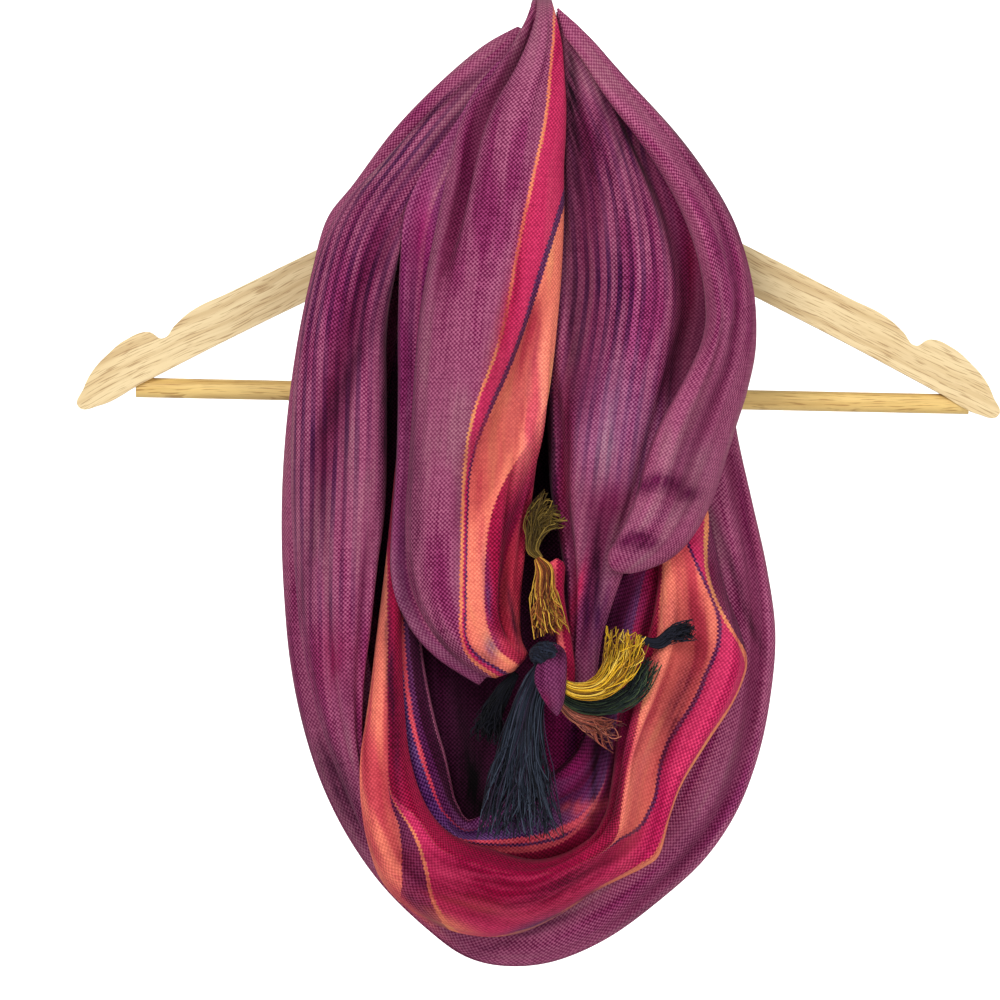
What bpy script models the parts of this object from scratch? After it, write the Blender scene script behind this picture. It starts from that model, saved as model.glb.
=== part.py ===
"""Handwoven shawl looped over the hook of a wooden coat hanger.

Frame: +Z up, -Y towards the viewer, +X to the viewer's right. The origin is the inner top of
the hanger's hook, where the hook rests on a rail. Tables are in millimetres, meshes in metres.

Each stretch of cloth is one open surface with a Solidify wall. Its table has a row for each
cross section: the outer edge and the inner edge of the stretch as seen from the front, the
depth of both edges and how far the cloth stands forward between them. Its folds are a second
short table. A stretch then settles on the stretches behind it.
"""
import math
import random
from collections import namedtuple

import bmesh
import bpy
import numpy as np
from mathutils import Vector
from mathutils.bvhtree import BVHTree

MM = 0.001

# Cloth: wall, clearance between stretches, squareness of a section, smoothing rounds,
# share of a fold that fades in, extra length counted for a radian of turn, and the share of
# the columns past which a section faces the viewer
CLOTH_WALL = 1.6
CLOTH_GAP = 0.9
SECTION_ROUNDNESS = 0.85
SETTLE_ROUNDS = 5
FOLD_FADE = 0.12
TURN_WEIGHT = 45.0
FRONT_SHARE = 0.66

# Hanger
WOOD_THICKNESS = 12.0
WOOD_EDGE_ROUND = 1.5
WOOD_APEX_Z = -61.0
WOOD_TILT = math.radians(0.55)
BAR_RADIUS = 4.8
BAR_LEFT_END = (-196.0, -179.5)
BAR_RIGHT_END = (207.0, -187.7)
WIRE_RADIUS = 2.0
HOOK_RADIUS = 20.0
HOOK_TURN = range(-40, 206, 12)
SHANK_FOOT_Z = -74.0
SHANK_BEND_Z = -52.0
SHANK_SWAY = 1.4
TIP_TAPER = [0.85, 0.45]
SOCKET_GAP = 0.3

Station = namedtuple("Station", "out_x out_z in_x in_z out_y in_y front back")
Fold = namedtuple("Fold", "start end across_start across_end height width")
Stretch = namedtuple("Stretch", "stations folds arc rests_on rows columns colour")
Tassel = namedtuple("Tassel", "path columns rows root_size tip_size colour seed")

# Columns of every station: outer edge x z, inner edge x z, depth y of both edges,
# how far the middle stands forward, how far the turned back stands behind
LOOP_OUTER = [
    Station(-10, -5, 2, -15, -28, -28, 4, 3),
    Station(-22, -11, -8, -25, -28, -28, 7, 5),
    Station(-42, -27, -22, -47, -27, -27, 9, 8),
    Station(-61, -44, -34, -70, -26, -26, 11, 10),
    Station(-90, -81, -53, -106, -25, -25, 13, 12),
    Station(-103, -98, -60, -124, -25, -25, 14, 13),
    Station(-109, -118, -65, -146, -24, -24, 15, 14),
    Station(-121, -181, -71, -203, -24, -24, 16, 14),
    Station(-125, -232, -74, -245, -24, -24, 16, 14),
    Station(-124, -280, -74, -285, -24, -24, 16, 14),
    Station(-118, -330, -68, -325, -24, -25, 16, 14),
    Station(-105, -373, -56, -357, -24, -26, 16, 14),
    Station(-80, -416, -40, -385, -25, -27, 16, 14),
    Station(-54, -442, -24, -399, -26, -28, 16, 14),
    Station(-30, -457, -8, -407, -27, -29, 15, 14),
    Station(-8, -459, 4, -409, -27, -29, 15, 14),
    Station(18, -453, 15, -405, -27, -29, 15, 14),
    Station(47, -434, 29, -395, -26, -28, 16, 14),
    Station(77, -407, 43, -373, -25, -27, 16, 14),
    Station(96, -376, 54, -347, -24, -26, 16, 14),
    Station(106, -340, 60, -318, -24, -25, 16, 14),
    Station(111, -298, 62, -285, -24, -24, 16, 14),
    Station(106, -257, 61, -247, -24, -24, 16, 14),
    Station(96, -212, 57, -203, -24, -24, 16, 14),
    Station(88, -160, 50, -150, -24, -24, 15, 13),
    Station(80, -112, 42, -103, -25, -25, 13, 12),
    Station(62, -70, 30, -66, -26, -26, 11, 10),
    Station(38, -36, 18, -40, -27, -27, 8, 7),
    Station(24, -18, 12, -27, -28, -28, 5, 4),
    Station(17, -7, 6, -16, -28, -28, 4, 3),
]
LOOP_OUTER_FOLDS = [
    Fold(0.05, 0.60, 0.16, 0.12, -8.0, 0.070),
    Fold(0.42, 0.96, 0.10, 0.22, -8.5, 0.070),
    Fold(0.08, 0.45, 0.34, 0.40, -8.5, 0.070),
    Fold(0.30, 0.93, 0.42, 0.33, -8.0, 0.070),
    Fold(0.20, 0.80, 0.24, 0.26, 3.0, 0.060),
    Fold(0.50, 0.90, 0.70, 0.76, -3.5, 0.070),
    Fold(0.52, 0.80, 0.62, 0.58, 2.5, 0.060),
]

LOOP_BACK = [
    Station(-22, -47, 16, -45, -31, -31, -2, 0),
    Station(-42, -84, 36, -80, -31, -31, -8, 0),
    Station(-60, -125, 50, -120, -31, -31, -11, 0),
    Station(-72, -180, 58, -175, -31, -31, -13, 0),
    Station(-78, -240, 64, -235, -31, -31, -14, 0),
    Station(-78, -290, 66, -285, -31, -31, -14, 0),
    Station(-69, -335, 62, -328, -32, -32, -14, 0),
    Station(-55, -368, 50, -362, -32, -32, -12, 0),
    Station(-38, -394, 34, -388, -32, -32, -8, 0),
    Station(-22, -411, 22, -407, -31, -31, -2, 0),
]
LOOP_BACK_FOLDS = [
    Fold(0.02, 0.98, 0.32, 0.24, 7.0, 0.075),
    Fold(0.02, 0.70, 0.50, 0.42, 6.0, 0.075),
    Fold(0.30, 0.98, 0.55, 0.60, 7.5, 0.075),
    Fold(0.02, 0.90, 0.70, 0.78, 6.0, 0.075),
]

LOOP_INNER = [
    Station(-70, -219, -61, -219, -42.3, -40.3, 4, 0),
    Station(-72, -253, -61, -253, -42.3, -40.3, 5, 0),
    Station(-73, -287, -59, -286, -42, -39, 6, 0),
    Station(-72, -316, -56, -314, -42, -38, 7, 0),
    Station(-69, -343, -51, -339, -42, -38, 8, 0),
    Station(-63, -369, -45, -360, -43, -38, 8, 0),
    Station(-54, -389, -41, -378, -44, -39, 8, 0),
    Station(-42, -401, -34, -388, -46, -41, 8, 0),
    Station(-27, -408, -23, -382, -47, -42, 8, 0),
    Station(-9, -412, -9, -373, -47, -42, 9, 0),
    Station(8, -411, 5, -365, -47, -42, 9, 0),
    Station(24, -404, 16, -355, -46, -41, 9, 0),
    Station(34, -390, 22, -343, -45, -41, 9, 0),
    Station(40, -370, 25, -328, -44, -41, 9, 0),
    Station(45, -348, 27, -312, -44, -41, 9, 0),
    Station(52, -322, 28, -292, -44, -41, 9, 0),
    Station(58, -296, 32, -272, -44, -41, 9, 0),
    Station(62, -268, 38, -256, -44, -42, 8, 0),
    Station(60, -246, 42, -240, -44, -43, 6, 0),
]
LOOP_INNER_FOLDS = [
    Fold(0.38, 0.97, 0.26, 0.30, -3.5, 0.065),
    Fold(0.34, 0.99, 0.42, 0.44, 2.5, 0.060),
    Fold(0.36, 0.97, 0.58, 0.60, -3.5, 0.065),
    Fold(0.40, 0.99, 0.76, 0.76, 2.5, 0.060),
]

LOOP_BOWL = [
    Station(-69, -207, -63, -207, -46, -46, 5, 0),
    Station(-72, -236, -65, -236, -46, -46, 7, 0),
    Station(-75, -265, -66, -265, -46, -46, 9, 0),
    Station(-79, -298, -67, -297, -46, -46, 11, 0),
    Station(-83, -331, -66, -331, -46, -47, 14, 0),
    Station(-87, -361, -63, -358, -46, -48, 15, 0),
    Station(-85, -391, -56, -379, -45, -51, 16, 0),
    Station(-76, -418, -46, -392, -45, -54, 18, 0),
    Station(-62, -432, -36, -398, -44, -57, 20, 0),
    Station(-43, -441, -22, -402, -44, -59, 21, 0),
    Station(-21, -444, -7, -406, -44, -60, 22, 0),
    Station(2, -438, 6, -405, -44, -60, 21, 0),
    Station(21, -425, 17, -400, -44, -59, 20, 0),
    Station(39, -416, 25, -394, -44, -58, 18, 0),
    Station(56, -406, 31, -382, -44, -57, 17, 0),
    Station(62, -387, 34, -365, -44, -56, 17, 0),
    Station(70, -367, 36, -348, -44, -55, 18, 0),
    Station(83, -347, 39, -333, -44, -55, 18, 0),
    Station(95, -327, 44, -318, -44, -55, 18, 0),
    Station(99, -309, 50, -303, -44, -54, 17, 0),
    Station(94, -292, 54, -287, -44, -53, 15, 0),
    Station(88, -275, 56, -270, -44, -52, 12, 0),
    Station(84, -256, 55, -251, -44, -50, 9, 0),
    Station(80, -238, 53, -233, -44, -48, 6, 0),
]
LOOP_BOWL_FOLDS = [
    Fold(0.18, 0.58, 0.50, 0.30, -2.5, 0.080),
    Fold(0.55, 0.99, 0.46, 0.52, -5.0, 0.080),
    Fold(0.58, 0.97, 0.64, 0.70, 3.5, 0.070),
    Fold(0.52, 0.97, 0.80, 0.84, -3.5, 0.060),
    Fold(0.62, 0.97, 0.26, 0.30, 2.5, 0.070),
]

LOOP_FRONT = [
    Station(-11, -8, -5, -15, -33, -33, 3, 0),
    Station(-19, -15, -12, -25, -33, -34, 4, 0),
    Station(-35, -30, -26, -41, -33, -36, 6, 0),
    Station(-52, -45, -37, -58, -33, -39, 8, 0),
    Station(-69, -64, -48, -75, -34, -42, 10, 0),
    Station(-85, -80, -58, -93, -35, -45, 12, 0),
    Station(-98, -96, -66, -112, -36, -47, 13, 0),
    Station(-106, -114, -71, -131, -37, -48, 14, 0),
    Station(-113, -141, -74, -153, -38, -49, 15, 0),
    Station(-118, -173, -74, -182, -38, -50, 16, 0),
    Station(-120, -206, -74, -210, -38, -50, 16, 0),
    Station(-120, -239, -75, -239, -38, -50, 16, 0),
    Station(-118, -273, -79, -269, -38, -50, 15, 0),
    Station(-115, -302, -82, -298, -38, -49, 14, 0),
    Station(-109, -331, -85, -327, -38, -47, 12, 0),
    Station(-101, -357, -85, -354, -39, -46, 9, 0),
    Station(-92, -379, -82, -377, -40, -46, 6, 0),
    Station(-84, -398, -76, -396, -41, -46, 4, 0),
]
LOOP_FRONT_FOLDS = [
    Fold(0.22, 0.66, 0.72, 0.34, -3.0, 0.080),
    Fold(0.10, 0.50, 0.42, 0.40, 2.0, 0.070),
    Fold(0.60, 0.98, 0.74, 0.72, -2.5, 0.080),
]

END_SIDE = [
    Station(-18, -20, -12, -29, -38, -40, 2, 0),
    Station(-30, -34, -21, -46, -40, -44, 3, 0),
    Station(-40, -51, -30, -62, -42, -48, 4, 0),
    Station(-50, -66, -35, -78, -44, -51, 5, 0),
    Station(-59, -80, -39, -92, -46, -53, 6, 0),
    Station(-66, -100, -43, -107, -48, -54, 6, 0),
    Station(-68, -121, -46, -123, -49, -55, 6, 0),
    Station(-69, -152, -49, -152, -50, -56, 7, 0),
    Station(-69, -186, -51, -186, -51, -56, 7, 0),
    Station(-70, -220, -54, -220, -54, -57, 7, 0),
    Station(-72, -248, -56, -248, -55, -58, 7, 0),
    Station(-72, -271, -54, -270, -54, -58, 7, 0),
    Station(-67, -289, -49, -285, -50, -56, 6, 0),
    Station(-58, -303, -42, -296, -51, -57, 5, 0),
    Station(-45, -314, -32, -304, -52, -58, 5, 0),
    Station(-30, -323, -20, -312, -53, -58, 4, 0),
]
END_SIDE_FOLDS = [
    Fold(0.20, 0.95, 0.45, 0.45, -2.0, 0.110),
]

END_RIGHT = [
    Station(17, -8, 8, -6, -32.6, -33, 2, 0),
    Station(23, -16, 9, -13, -32.6, -34, 5, 0),
    Station(34, -31, 8, -22, -33.6, -35, 9, 0),
    Station(49, -51, 7, -39, -36, -36, 13, 0),
    Station(63, -71, 6, -58, -38, -38, 16, 0),
    Station(75, -93, 5, -79, -40, -41, 18, 0),
    Station(83, -115, 4, -103, -41, -43, 20, 0),
    Station(86, -140, 3, -132, -42, -45, 21, 0),
    Station(81, -161, 2, -159, -42, -47, 21, 0),
    Station(73, -186, 2, -183, -44, -49, 21, 0),
    Station(66, -207, 3, -205, -47, -51, 20, 0),
    Station(60, -226, 4, -227, -51, -53, 18, 0),
    Station(51, -244, 7, -246, -55, -55, 15, 0),
    Station(43, -260, 10, -263, -57, -56, 12, 0),
    Station(36, -278, 12, -280, -57, -57, 10, 0),
    Station(30, -296, 13, -297, -57, -58, 7, 0),
    Station(27, -316, 13, -316, -57, -58, 6, 0),
    Station(25, -334, 14, -334, -57, -58, 4, 0),
]
END_RIGHT_FOLDS = [
    Fold(0.08, 0.62, 0.36, 0.22, -8.0, 0.080),
    Fold(0.06, 0.60, 0.52, 0.46, 3.5, 0.090),
    Fold(0.10, 0.66, 0.66, 0.64, -4.0, 0.080),
    Fold(0.50, 0.98, 0.84, 0.76, -5.0, 0.080),
    Fold(0.66, 0.99, 0.50, 0.50, -3.5, 0.090),
]

END_LEFT = [
    Station(-4, 3.6, 4, 3.6, 12, 12, 1, 0),
    Station(-4, 7.1, 4, 7.1, 4, 4, 1, 0),
    Station(-4, 8.6, 5, 8.6, -8, -8, 1, 0),
    Station(-4, 7.6, 5, 7.6, -20, -20, 2, 0),
    Station(-5, 4, 6, 4, -31, -31, 3, 0),
    Station(-8, -4, 8, -4, -36, -36, 6, 0),
    Station(-13, -13, 10, -14, -38, -37, 9, 0),
    Station(-21, -26, 11, -27, -42, -40, 12, 0),
    Station(-31, -39, 12, -40, -45, -43, 16, 0),
    Station(-38, -52, 12, -55, -48, -46, 19, 0),
    Station(-43, -70, 11, -73, -51, -49, 22, 0),
    Station(-48, -92, 11, -94, -53, -51, 24, 0),
    Station(-53, -115, 10, -118, -54, -52, 26, 0),
    Station(-58, -142, 8, -145, -55, -53, 27, 0),
    Station(-61, -176, 4, -176, -56, -54, 28, 0),
    Station(-63, -210, -1, -208, -56, -55, 28, 0),
    Station(-65, -243, -5, -238, -56, -56, 27, 0),
    Station(-64, -266, -8, -262, -56, -57, 25, 0),
    Station(-58, -287, -10, -282, -57, -58, 22, 0),
    Station(-47, -304, -10, -296, -58, -59, 18, 0),
    Station(-34, -315, -8, -305, -60, -62, 13, 0),
    Station(-21, -322, -5, -309.5, -62, -67, 8, 0),
]
END_LEFT_FOLDS = [
    Fold(0.20, 0.58, 0.30, 0.20, -7.0, 0.075),
    Fold(0.16, 0.46, 0.46, 0.50, 3.0, 0.090),
    Fold(0.52, 0.80, 0.82, 0.46, -7.0, 0.075),
    Fold(0.56, 0.93, 0.92, 0.62, 3.0, 0.080),
    Fold(0.68, 0.99, 0.80, 0.76, -7.0, 0.075),
]

END_LOBE = [
    Station(17, -5, 11, -11, -38, -39, 3, 0),
    Station(26, -14, 19, -22, -38, -43, 4, 0),
    Station(39, -29, 31, -41, -39.5, -48.8, 6, 0),
    Station(54, -45, 44, -58, -39, -54, 9, 0),
    Station(68, -61, 57, -77, -38, -55, 12, 0),
    Station(81, -79, 67, -96, -38, -59, 15, 0),
    Station(92, -98, 74, -115, -38, -61, 18, 0),
    Station(99, -119, 78, -135, -39, -63, 20, 0),
    Station(103, -143, 78, -153, -39, -65, 21, 0),
    Station(102, -169, 71, -171, -40, -67, 22, 0),
    Station(96, -191, 61, -189, -42, -69, 21, 0),
    Station(90, -211, 53, -205, -44, -70, 20, 0),
    Station(85, -227, 48, -220, -46, -71, 19, 0),
    Station(79, -241, 44, -235, -49, -72, 17, 0),
    Station(70, -255, 37, -250, -53, -72, 15, 0),
    Station(58, -265, 31, -260, -58, -72, 12, 0),
    Station(45, -272, 27, -266, -63, -72, 9, 0),
]
END_LOBE_FOLDS = [
    Fold(0.10, 0.62, 0.62, 0.66, 3.0, 0.080),
    Fold(0.46, 0.94, 0.46, 0.42, -3.0, 0.090),
    Fold(0.66, 0.98, 0.66, 0.62, 2.5, 0.080),
]

# Narrow cloth at the knot
KNOT_BAND = [
    Station(3, -262, 12, -262, -66, -63, 3, 0),
    Station(4, -280, 11, -280, -68, -65, 3, 0),
    Station(6.7, -298, 14, -297, -70, -67, 3, 0),
    Station(8, -312, 16, -311, -71, -68, 3, 0),
    Station(9, -326, 16, -326, -71, -69, 3, 0),
]
KNOT_POINT = [
    Station(0, -306, 10, -300, -79.4, -79.4, 2, 0),
    Station(-3, -315, 12, -309, -82, -82, 2, 0),
    Station(-3, -322, 12, -319, -84, -83, 3, 0),
    Station(1, -330, 11, -330, -83, -82, 3, 0),
    Station(5, -337, 10, -337, -82, -82, 2, 0),
]

WHOLE_FRONT = (180, 0)
TURNED_BACK = (345, 62)

# Back to front: a stretch settles on the stretches that it names, which come before it
STRETCHES = {
    "loop_outer": Stretch(LOOP_OUTER, LOOP_OUTER_FOLDS, TURNED_BACK, [], 38, 18,
                          (0.33, 0.08, 0.22)),
    "loop_back": Stretch(LOOP_BACK, LOOP_BACK_FOLDS, WHOLE_FRONT, [], 15, 15,
                         (0.16, 0.03, 0.13)),
    "loop_inner": Stretch(LOOP_INNER, LOOP_INNER_FOLDS, WHOLE_FRONT, ["loop_outer"], 28, 10,
                          (0.30, 0.05, 0.35)),
    "loop_front": Stretch(LOOP_FRONT, LOOP_FRONT_FOLDS, WHOLE_FRONT,
                          ["loop_outer", "loop_inner"], 26, 10, (0.36, 0.09, 0.25)),
    "loop_bowl": Stretch(LOOP_BOWL, LOOP_BOWL_FOLDS, WHOLE_FRONT,
                         ["loop_outer", "loop_inner", "loop_front"], 34, 12,
                         (0.62, 0.05, 0.16)),
    "end_side": Stretch(END_SIDE, END_SIDE_FOLDS, WHOLE_FRONT,
                        ["loop_outer", "loop_inner", "loop_front", "loop_bowl"], 20, 7,
                        (0.30, 0.05, 0.24)),
    "end_right": Stretch(END_RIGHT, END_RIGHT_FOLDS, WHOLE_FRONT,
                         ["loop_outer", "loop_inner", "loop_bowl"], 23, 13,
                         (0.34, 0.10, 0.30)),
    "end_left": Stretch(END_LEFT, END_LEFT_FOLDS, WHOLE_FRONT,
                        ["loop_outer", "loop_inner", "loop_front", "loop_bowl", "end_side",
                         "end_right"], 29, 14, (0.42, 0.11, 0.25)),
    "end_lobe": Stretch(END_LOBE, END_LOBE_FOLDS, WHOLE_FRONT,
                        ["loop_outer", "loop_inner", "loop_bowl", "end_right"], 24, 10,
                        (0.40, 0.11, 0.27)),
    "knot_band": Stretch(KNOT_BAND, [], WHOLE_FRONT, ["end_right"], 8, 5, (0.65, 0.06, 0.14)),
    "knot_point": Stretch(KNOT_POINT, [], WHOLE_FRONT, ["end_right", "knot_band"], 7, 6,
                          (0.40, 0.05, 0.28)),
}

# Tassels: points of the middle line x y z, strands across and deep, size at root and tip
TASSELS = {
    "tassel_navy": Tassel([(-2, -73, -320), (-6, -75, -332), (-9, -76, -356), (-10, -77, -397)],
                          6, 4, (12, 5), (32, 10), (0.03, 0.04, 0.06), 1),
    "tassel_navy_back": Tassel([(-18, -62, -325.5), (-23, -61, -335), (-27, -60, -351)],
                               4, 2, (8, 4), (13, 7), (0.01, 0.01, 0.02), 2),
    "tassel_olive": Tassel([(-4, -66, -258), (-3, -67, -250), (1, -68, -242), (8, -68, -237)],
                           4, 3, (6, 4), (16, 7), (0.28, 0.22, 0.05), 3),
    "tassel_ochre": Tassel([(1, -71.6, -267), (1, -74, -278), (3, -76, -290), (5, -77, -299)],
                           4, 4, (9, 5), (13, 7), (0.50, 0.30, 0.06), 4),
    "tassel_yellow": Tassel([(16.2, -81, -325), (27, -82, -324), (37, -82, -313), (42, -82, -296)],
                            5, 4, (8, 5), (17, 7), (0.72, 0.50, 0.06), 5),
    "tassel_green": Tassel([(14, -72, -330.2), (28, -73, -333), (44, -76, -325), (52, -78, -309)],
                           4, 3, (7, 4), (10, 5), (0.10, 0.13, 0.10), 6),
    "tassel_black": Tassel([(57, -70.4, -302), (61, -71, -299), (67, -71, -297), (74, -70, -296)],
                           3, 3, (6, 4), (8, 4), (0.02, 0.02, 0.03), 7),
    "tassel_brown": Tassel([(15, -72, -337.2), (23, -72, -341), (31, -73, -345), (38, -74, -348)],
                           3, 2, (5, 3), (12, 4), (0.42, 0.20, 0.14), 8),
}
STRAND_STEPS = 3
STRAND_SHARE = 0.30
STRAND_TAPER = 0.93
STRAND_SWAY = 0.14
SHORTEST_STRAND = 0.86
HEAD_LENGTH = 4.0
HEAD_TAPER = 0.7
PATH_STEPS = 40

KNOT_RADIUS = 6.5
KNOT_CENTRE = (1.0, -72.0, -309.0)

# Half outline of the wooden arms, from the middle of the top edge round to the underside
ARM_OUTLINE = [
    (12, -6.5), (60, -30), (110, -54), (150, -74), (168, -83), (176, -90), (182, -96.5),
    (189, -93.5), (200, -97.5), (209, -105), (216, -113), (220, -121), (222.5, -130),
    (213, -129.5), (193, -119), (150, -96.5), (104, -73.5), (50, -47), (14, -30),
]


def remove_all():
    """Empty the scene."""
    for thing in list(bpy.data.objects):
        bpy.data.objects.remove(thing, do_unlink=True)


def new_collection(name):
    """A collection linked to the scene."""
    collection = bpy.data.collections.new(name)
    bpy.context.scene.collection.children.link(collection)
    return collection


def plain_material(name, colour, roughness, metallic=0.0):
    """A Principled material of one colour."""
    material = bpy.data.materials.new(name)
    material.use_nodes = True
    shader = material.node_tree.nodes["Principled BSDF"]
    shader.inputs["Base Color"].default_value = (*colour, 1.0)
    shader.inputs["Roughness"].default_value = roughness
    shader.inputs["Metallic"].default_value = metallic
    return material


def place(thing, collection, material):
    """Link an object and give it its material."""
    collection.objects.link(thing)
    thing.data.materials.clear()
    thing.data.materials.append(material)


def read_smoothly(table, at, where):
    """Values of a table at places along its parameter, on a smooth curve through its rows."""
    table = np.array(table, float)
    slope = np.gradient(table, at, axis=0)
    row = np.clip(np.searchsorted(at, where) - 1, 0, len(at) - 2)
    span = (at[row + 1] - at[row])[:, None]
    t = (where - at[row])[:, None] / span
    return ((2 * t**3 - 3 * t**2 + 1) * table[row] + (t**3 - 2 * t**2 + t) * span * slope[row]
            + (3 * t**2 - 2 * t**3) * table[row + 1] + (t**3 - t**2) * span * slope[row + 1])


def length_along(points):
    """Distance from the first point, for each point of a line."""
    steps = np.linalg.norm(np.diff(points, axis=0), axis=1)
    return np.concatenate([[0.0], np.cumsum(steps)])


def row_places(points, count):
    """Places along a line for its rows: closer together where the line turns."""
    at = length_along(points)
    ways = np.diff(points, axis=0) / np.diff(at)[:, None]
    turns = np.arccos(np.clip((ways[1:] * ways[:-1]).sum(axis=1), -1, 1))
    effort = at + TURN_WEIGHT * np.concatenate([[0.0], np.cumsum(turns), [turns.sum()]])
    return np.interp(np.linspace(0, effort[-1], count), effort, at)


def softened(values):
    """A circle's sine or cosine, squared off a little so that the cloth's face is flatter."""
    return np.sign(values) * np.abs(values) ** SECTION_ROUNDNESS


def section_points(stations, arc, rows, columns):
    """Grid of points: a row for each section, columns round it from the outer side inwards."""
    table = np.array(stations, float)
    middle = np.column_stack([(table[:, 0:2] + table[:, 2:4]) / 2, table[:, 4]])
    table = read_smoothly(table, length_along(middle), row_places(middle, rows))
    angle = np.radians(np.linspace(arc[0], arc[1], columns))
    side, rise = -softened(np.cos(angle)), softened(np.sin(angle))
    out_x, out_z, in_x, in_z, out_y, in_y, front, back = table.T[:, :, None]
    depth = np.where(rise > 0, front, back)
    x = (out_x + in_x) / 2 + (out_x - in_x) / 2 * side
    y = (out_y + in_y) / 2 + (out_y - in_y) / 2 * side - depth * rise
    z = (out_z + in_z) / 2 + (out_z - in_z) / 2 * side
    return np.stack([x, y, z], axis=2)


def outward(points):
    """Unit normals of a grid, pointing out of the stretch (towards the viewer in front)."""
    normals = np.cross(np.gradient(points, axis=0), np.gradient(points, axis=1))
    normals /= np.maximum(np.linalg.norm(normals, axis=2, keepdims=True), 1e-9)
    front_column = int(points.shape[1] * FRONT_SHARE)
    return normals if normals[:, front_column, 1].mean() < 0 else -normals


def fold_relief(folds, rows, columns):
    """Height of the folds over a grid: ridges above zero, troughs below."""
    along = np.linspace(0, 1, rows)[:, None]
    across = np.linspace(0, 1, columns)[None, :]
    relief = np.zeros((rows, columns))
    for fold in folds:
        share = np.clip((along - fold.start) / (fold.end - fold.start), 0, 1)
        centre = fold.across_start + (fold.across_end - fold.across_start) * share
        rise = np.clip((along - fold.start) / FOLD_FADE, 0, 1)
        fall = np.clip((fold.end - along) / FOLD_FADE, 0, 1)
        strength = (rise**2 * (3 - 2 * rise)) * (fall**2 * (3 - 2 * fall))
        relief += fold.height * strength * np.exp(-((across - centre) / fold.width) ** 2)
    return relief


def settle(points, solids, gap):
    """Move points towards the viewer until they clear the solids behind them."""
    rows, columns = points.shape[:2]
    need = np.zeros((rows, columns))
    for row in range(rows):
        for column in range(columns):
            x, y, z = points[row, column]
            start = Vector((x * MM, -1.0, z * MM))
            for solid in solids:
                hit = solid.ray_cast(start, Vector((0, 1, 0)))[0]
                if hit is not None:
                    need[row, column] = max(need[row, column], y - hit.y / MM + gap)
    push = need.copy()
    for _ in range(SETTLE_ROUNDS):
        wide = np.pad(push, 1, mode="edge")
        mean = (wide[:-2, 1:-1] + wide[2:, 1:-1] + wide[1:-1, :-2] + wide[1:-1, 2:]) / 4
        push = np.maximum(need, mean)
    points[:, :, 1] -= push
    return points


def grid_mesh(name, points):
    """A mesh surface through a grid of points."""
    rows, columns = points.shape[:2]
    sheet = bmesh.new()
    bmesh.ops.create_grid(sheet, x_segments=columns - 1, y_segments=rows - 1, size=1.0)
    for vert in sheet.verts:
        column = round((vert.co.x + 1) / 2 * (columns - 1))
        row = round((vert.co.y + 1) / 2 * (rows - 1))
        vert.co = Vector(points[row, column]) * MM
    mesh = bpy.data.meshes.new(name)
    sheet.to_mesh(mesh)
    sheet.free()
    return mesh


def make_stretch(name, stretch, collection, solids):
    """One stretch of cloth, laid on the solids behind it."""
    points = section_points(stretch.stations, stretch.arc, stretch.rows, stretch.columns)
    relief = fold_relief(stretch.folds, stretch.rows, stretch.columns)
    normals = outward(points)
    points = settle(points + normals * relief[:, :, None], solids, CLOTH_WALL + CLOTH_GAP)
    mesh = grid_mesh(name, points)
    faces_viewer = sum(face.normal.y * face.area for face in mesh.polygons
                       if face.index % (stretch.columns - 1) > (stretch.columns - 1) * FRONT_SHARE)
    if faces_viewer > 0:
        mesh.flip_normals()
    cloth = bpy.data.objects.new(name, mesh)
    place(cloth, collection, plain_material(name, stretch.colour, 0.85))
    cloth.data.shade_smooth()
    wall = cloth.modifiers.new("wall", "SOLIDIFY")
    wall.thickness = CLOTH_WALL * MM
    wall.offset = -1.0
    bpy.context.view_layer.update()
    return cloth


def solid_tree(thing):
    """Search tree over the finished shape of an object."""
    return BVHTree.FromObject(thing, bpy.context.evaluated_depsgraph_get())


def tassel_frame(path, share):
    """Middle point, across and deep directions of a tassel at a share of its length."""
    points = np.array(path, float)
    at = length_along(points)
    line = read_smoothly(points, at, np.linspace(0, at[-1], PATH_STEPS + 1))
    step = min(max(share, 0.0), 1.0) * PATH_STEPS
    low = min(int(step), PATH_STEPS - 1)
    middle = line[low] + (line[low + 1] - line[low]) * (step - low)
    forward = line[low + 1] - line[low]
    forward /= np.linalg.norm(forward)
    middle = middle + forward * at[-1] * min(share, 0.0)
    across = np.cross(forward, (0, 1, 0))
    across /= np.linalg.norm(across)
    return middle, across, np.cross(across, forward)


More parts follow.
